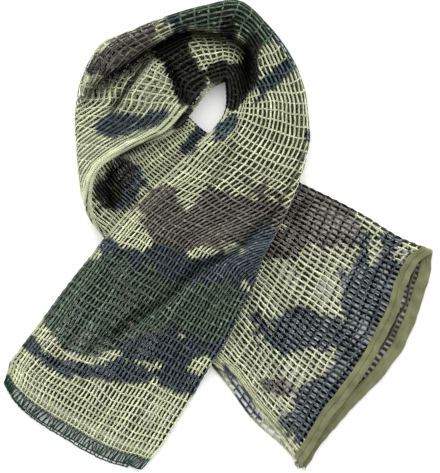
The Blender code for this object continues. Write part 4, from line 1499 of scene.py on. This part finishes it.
@dataclass(frozen=True)
class EndBinding:
    """The olive tape that is folded round the net's raw end, with its seam and frayed tip.

    Sizes are in millimetres. cover is how far it reaches over the net, and beyond how far it
    stands out past the net's raw end. near is how far its faces' inner sides lie from the net's
    middle, and thick is the tape's thickness. seam is the stitch line's distance from that end.
    """

    form: BandForm
    flat_length: float = 900.0
    flat_width: float = 45.0
    cover: float = 15.0
    beyond: float = 7.0
    near: float = 1.35
    thick: float = 0.95
    nose: float = 0.9
    inside_start: float = -0.5
    spare: float = 2.0
    seam: float = 4.5
    seam_depth: float = 0.9
    seam_width: float = 1.3
    hem_depth: float = 0.25
    hem_width: float = 1.2
    wobble: tuple = (0.5, 30.0)
    stitch_pitch: float = 4.6
    stitch_length: float = 2.9
    stitch_rise: tuple = (0.12, 0.3)
    stitch_half_width: float = 0.42
    stitch_flat: float = 0.7
    stitch_clear: tuple = (3.0, 4.0)
    stitch_tone: tuple = (0.060, 0.066, 0.034)
    frays: int = 18
    fray_length: tuple = (4.0, 12.0)
    fray_bend: float = 5.0
    fray_half_width: float = 0.38
    fray_floor: float = 0.5
    fray_bright: float = 1.5
    face_points: int = 20
    columns: int = 170
    arc_rings: int = 5

    def profile(self) -> tuple[np.ndarray, np.ndarray]:
        """The tape's cross-section, once round: distances along the band, and out of the layer.

        It runs down the outer face, round the nose, up the inner face and back along the inside
        of both. The seam and the hem dip both faces by bell curves.

        Returns:
            The two coordinates of the section's points.
        """
        face = np.linspace(self.cover, -self.beyond, self.face_points)
        inside = np.linspace(self.inside_start, self.cover, 4)
        dip = (self.seam_depth * bell(face - self.seam, self.seam_width)
               + self.hem_depth * bell(face - self.cover, self.hem_width))
        nose = np.linspace(0.0, np.pi, 7)[1:-1]
        outer = self.near + self.thick - dip
        u = np.concatenate([face, -self.beyond - self.nose * np.sin(nose), face[::-1],
                            inside[::-1], inside])
        out = np.concatenate([outer, outer[-1] * np.cos(nose), -outer[::-1],
                              -self.near + 0.0 * inside, self.near + 0.0 * inside])
        return u, out

    def leg(self, side: Layer) -> tuple[np.ndarray, np.ndarray, np.ndarray]:
        """One layer's tape: the section carried across the band.

        The section's first coordinate is laid off along the layer's surface from its raw end,
        so that the tape keeps its width where the end slants.

        Args:
            side: The layer.

        Returns:
            The rings of points, across x section x 3, the same of the normals, and the way on
            past the fold.
        """
        u = np.arange(-self.beyond - self.spare, self.cover + self.spare)
        shares = np.linspace(0.0, 1.0, self.columns)
        points, normals = self.form.layer(u, np.tile(shares, (len(u), 1)), side)
        points, normals = np.swapaxes(points, 0, 1), np.swapaxes(normals, 0, 1)
        along = travelled(points, axis=1)
        at, out = self.profile()
        end = along[:, np.argmin(np.abs(u))][:, None]
        wanted = np.clip((at + end) / along[:, -1:], 0.0, 1.0)
        place, facing, ahead = (self.form.read_rows(field, along / along[:, -1:], wanted)
                                for field in (points, normals, np.gradient(points, axis=1)))
        size, wavelength = self.wobble
        wobble = size * Ripples(wavelength, 71 + side.value).at(shares * self.form.sheet_width,
                                                                0.0 * shares)
        facing = unit(facing)
        place = place + unit(ahead) * wobble[:, None, None] + facing * out[:, None]
        return place, facing, unit(place[-1] - place[-3])

    def rings(self, legs: dict) -> np.ndarray:
        """The whole tape: one leg, half circles round the fold, and the other leg back.

        Args:
            legs: Each layer's tape.

        Returns:
            The rings of points.
        """
        first, _, onward = legs[Layer.OUTSIDE]
        second, _, _ = legs[Layer.INSIDE]
        middle = (first[-1] + second[-1]) / 2
        arm = (first[-1] - second[-1]) / 2
        turn = np.linspace(0.0, np.pi, self.arc_rings + 2)[1:-1, None, None]
        reach = np.linalg.norm(arm, axis=-1, keepdims=True) * np.sign(
            (arm * (first[-1, :1] - second[-1, :1])).sum(-1, keepdims=True))
        round_fold = middle + arm * np.cos(turn) + onward * reach * np.sin(turn)
        return np.concatenate([first, round_fold, second[::-1]])

    def tape(self, legs: dict, material: bpy.types.Material) -> bpy.types.Object:
        """Makes the tape's closed mesh: squares between the rings, and a face on each end.

        Args:
            legs: Each layer's tape.
            material: The woven tape.

        Returns:
            The tape.
        """
        rings = self.rings(legs)
        count, size, _ = rings.shape
        number = np.arange(count * size).reshape(count, size)
        after = np.roll(number, -1, axis=1)
        squares = np.stack([number[:-1], number[1:], after[1:], after[:-1]], -1).reshape(-1, 4)
        caps = []
        for row, way in ((0, 1), (count - 1, -1)):
            left, right = number[row, :size // 2], number[row, ::-1][:size // 2]
            strip = np.stack([left[:-1], left[1:], right[1:], right[:-1]], -1)
            caps.append(strip[:, ::way])
        faces = np.concatenate([squares] + caps)
        places = np.stack([travelled(rings, axis=k) for k in (0, 1)], -1).reshape(-1, 2) * MM
        mesh = bpy.data.meshes.new("binding_tape")
        mesh.from_pydata((rings.reshape(-1, 3) * MM).tolist(), [], faces.tolist())
        mesh.polygons.foreach_set("use_smooth", np.ones(len(faces), bool))
        mesh.uv_layers.new(name="weave").data.foreach_set("uv", places[faces.ravel()].ravel())
        mesh.update()
        return placed_object("binding_tape", mesh, material)

    def threads(self, centres: np.ndarray, up: np.ndarray, half_width: float, half_thick: float,
                tone: np.ndarray) -> StrandSet:
        """Round or flat threads of one size and colour along centre lines."""
        size = np.ones(centres.shape[:2])
        return StrandSet.sweep(centres, up, half_width * size, half_thick * size,
                               np.broadcast_to(tone, centres.shape), size)

    def stitches(self, leg: tuple) -> StrandSet:
        """A seam's stitches: short arcs along the tape, which rise as a half sine.

        Args:
            leg: One layer's tape.

        Returns:
            The stitches.
        """
        at = self.profile()[0][:self.face_points]
        line, normal = (field[:, int(np.argmin(np.abs(at - self.seam)))] for field in leg[:2])
        along = travelled(line)
        first, last = self.stitch_clear
        starts = np.arange(first, along[-1] - last, self.stitch_pitch)
        share = np.linspace(0.0, 1.0, 4)
        wanted = starts[:, None] + share * self.stitch_length
        centres, up = (np.stack([np.interp(wanted, along, field[:, n]) for n in range(3)], -1)
                       for field in (line, normal))
        low, high = self.stitch_rise
        centres += up * (low + high * np.sin(np.pi * share))[:, None]
        return self.threads(centres, unit(up), self.stitch_half_width,
                            self.stitch_flat * self.stitch_half_width,
                            np.array(self.stitch_tone))

    def fray(self, rings: np.ndarray, chance: np.random.Generator) -> StrandSet:
        """The tip's loose threads: arcs that leave the tape's end and droop to the floor.

        A thread is start + length t out + bend t^2 aside, and its height falls with t^2.

        Args:
            rings: The rings of the tape's lower leg, whose first one is the tip.
            chance: Where the threads' uneven shapes come from.

        Returns:
            The threads.
        """
        out = unit(rings[0, ::3] - rings[2, ::3])
        pick = chance.integers(0, len(out), self.frays)
        start = rings[0, ::3][pick]
        t = np.linspace(0.0, 1.0, 6)[None, :, None]
        length = chance.uniform(*self.fray_length, (self.frays, 1, 1))
        aside = np.stack([-out[pick][:, 1], out[pick][:, 0], 0.0 * pick], -1)[:, None]
        bend = chance.uniform(-self.fray_bend, self.fray_bend, (self.frays, 1, 1))
        centres = start[:, None] + out[pick][:, None] * length * t + aside * bend * t ** 2
        drop = self.fray_floor - start[:, None, 2]
        centres[..., 2] = start[:, None, 2] + drop * t[..., 0] ** 2
        up = np.broadcast_to(np.array([0.0, 0.0, 1.0]), centres.shape)
        return self.threads(centres, up, self.fray_half_width, self.fray_half_width,
                            self.fray_bright * np.array(self.stitch_tone))

    def build(self, weave: bpy.types.Material,
              yarn: bpy.types.Material) -> list[bpy.types.Object]:
        """Makes the tape and its threads.

        Args:
            weave: The tape's material.
            yarn: The threads' material.

        Returns:
            The pieces: the tape and its threads.
        """
        legs = {side: self.leg(side) for side in Layer}
        tape = self.tape(legs, weave)
        sets = [self.stitches(leg) for leg in legs.values()]
        sets.append(self.fray(legs[Layer.OUTSIDE][0], np.random.default_rng(3)))
        threads = Piece("binding_threads", sets, yarn).object
        for piece in (tape, threads):
            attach(piece, "root")
        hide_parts("end_binding")
        return [tape, threads]


@dataclass(frozen=True)
class Studio:
    """A pale floor, soft light from low all round, and a camera straight above.

    Sizes are in metres. sky holds the light's tone by height, from the horizon at 0 to overhead
    at 1, and light_lean is its strength from the near side and from the far side.
    """

    frame_height: float = 0.8798
    frame_centre: tuple = (0.0067, -0.0010)
    distance: float = 4.0
    sensor: float = 36.0
    farthest: float = 50.0
    floor_half: float = 6.0
    floor_height: float = -0.0004
    floor_tone: float = 0.9
    floor_roughness: float = 0.9
    floor_specular: float = 0.1
    sky: tuple = ((0.0, 0.9), (0.38, 1.0), (0.55, 0.55), (0.70, 0.2), (1.0, 0.14))
    light_lean: tuple = (1.215, 7.02)

    def floor(self) -> None:
        """Lays the floor, just below the scarf."""
        half, z = self.floor_half, self.floor_height
        mesh = bpy.data.meshes.new("floor")
        mesh.from_pydata([(-half, -half, z), (half, -half, z), (half, half, z),
                          (-half, half, z)], [], [(0, 1, 2, 3)])
        material = bpy.data.materials.new("floor_paint")
        graph = Graph(material)
        graph.fill(graph.tree.nodes["Principled BSDF"], {
            "Base Color": (self.floor_tone,) * 3 + (1.0,), "Roughness": self.floor_roughness,
            "Specular IOR Level": self.floor_specular})
        placed_object("floor", mesh, material)

    def lights(self) -> None:
        """Lights the scene from a bright ring of sky low above the floor, dark overhead."""
        world = bpy.data.worlds.new("studio")
        bpy.context.scene.world = world
        graph = Graph(world)
        place = graph.add("TexCoord", {})
        axes = graph.add("SeparateXYZ", {0: place.outputs["Generated"]})
        ring = graph.add("ValToRGB", {"Fac": axes.outputs["Z"]})
        steps = ring.color_ramp.elements
        steps[0].position, steps[1].position = self.sky[0][0], self.sky[-1][0]
        for height, _ in self.sky[1:-1]:
            steps.new(height)
        for step, (_, tone) in zip(steps, self.sky):
            step.color = (tone, tone, tone, 1.0)
        lean = graph.add("MapRange", {"Value": axes.outputs["Y"], "From Min": -1.0,
                                      "From Max": 1.0, "To Min": self.light_lean[0],
                                      "To Max": self.light_lean[1]})
        graph.fill(graph.tree.nodes["Background"], {"Color": ring.outputs["Color"],
                                                    "Strength": lean.outputs["Result"]})

    def camera(self) -> None:
        """Hangs the camera straight above the scarf, with the photograph's frame."""
        lens = bpy.data.cameras.new("camera")
        lens.sensor_width = self.sensor
        lens.lens = self.sensor * self.distance / self.frame_height
        lens.clip_end = self.farthest
        camera = bpy.data.objects.new("camera", lens)
        camera.location = (*self.frame_centre, self.distance)
        bpy.context.scene.collection.objects.link(camera)
        bpy.context.scene.camera = camera

    def build(self) -> None:
        """Sets up floor, light and camera."""
        self.floor()
        self.lights()
        self.camera()
        bpy.context.scene.view_settings.view_transform = "Standard"


def main() -> None:
    """Builds the scarf and its studio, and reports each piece."""
    logging.basicConfig(level=logging.INFO, format="%(message)s")
    form = BandForm()
    yarn = YarnFinish().build()
    pieces = KnittedNet(form, CamouflageDyeAndShade(form)).build(yarn)
    pieces += EndBinding(form).build(TapeFinish().build(), yarn)
    for piece in pieces:
        log.info("%s: %d faces", piece.name, len(piece.data.polygons))
    Studio().build()


if __name__ == "__main__":
    main()
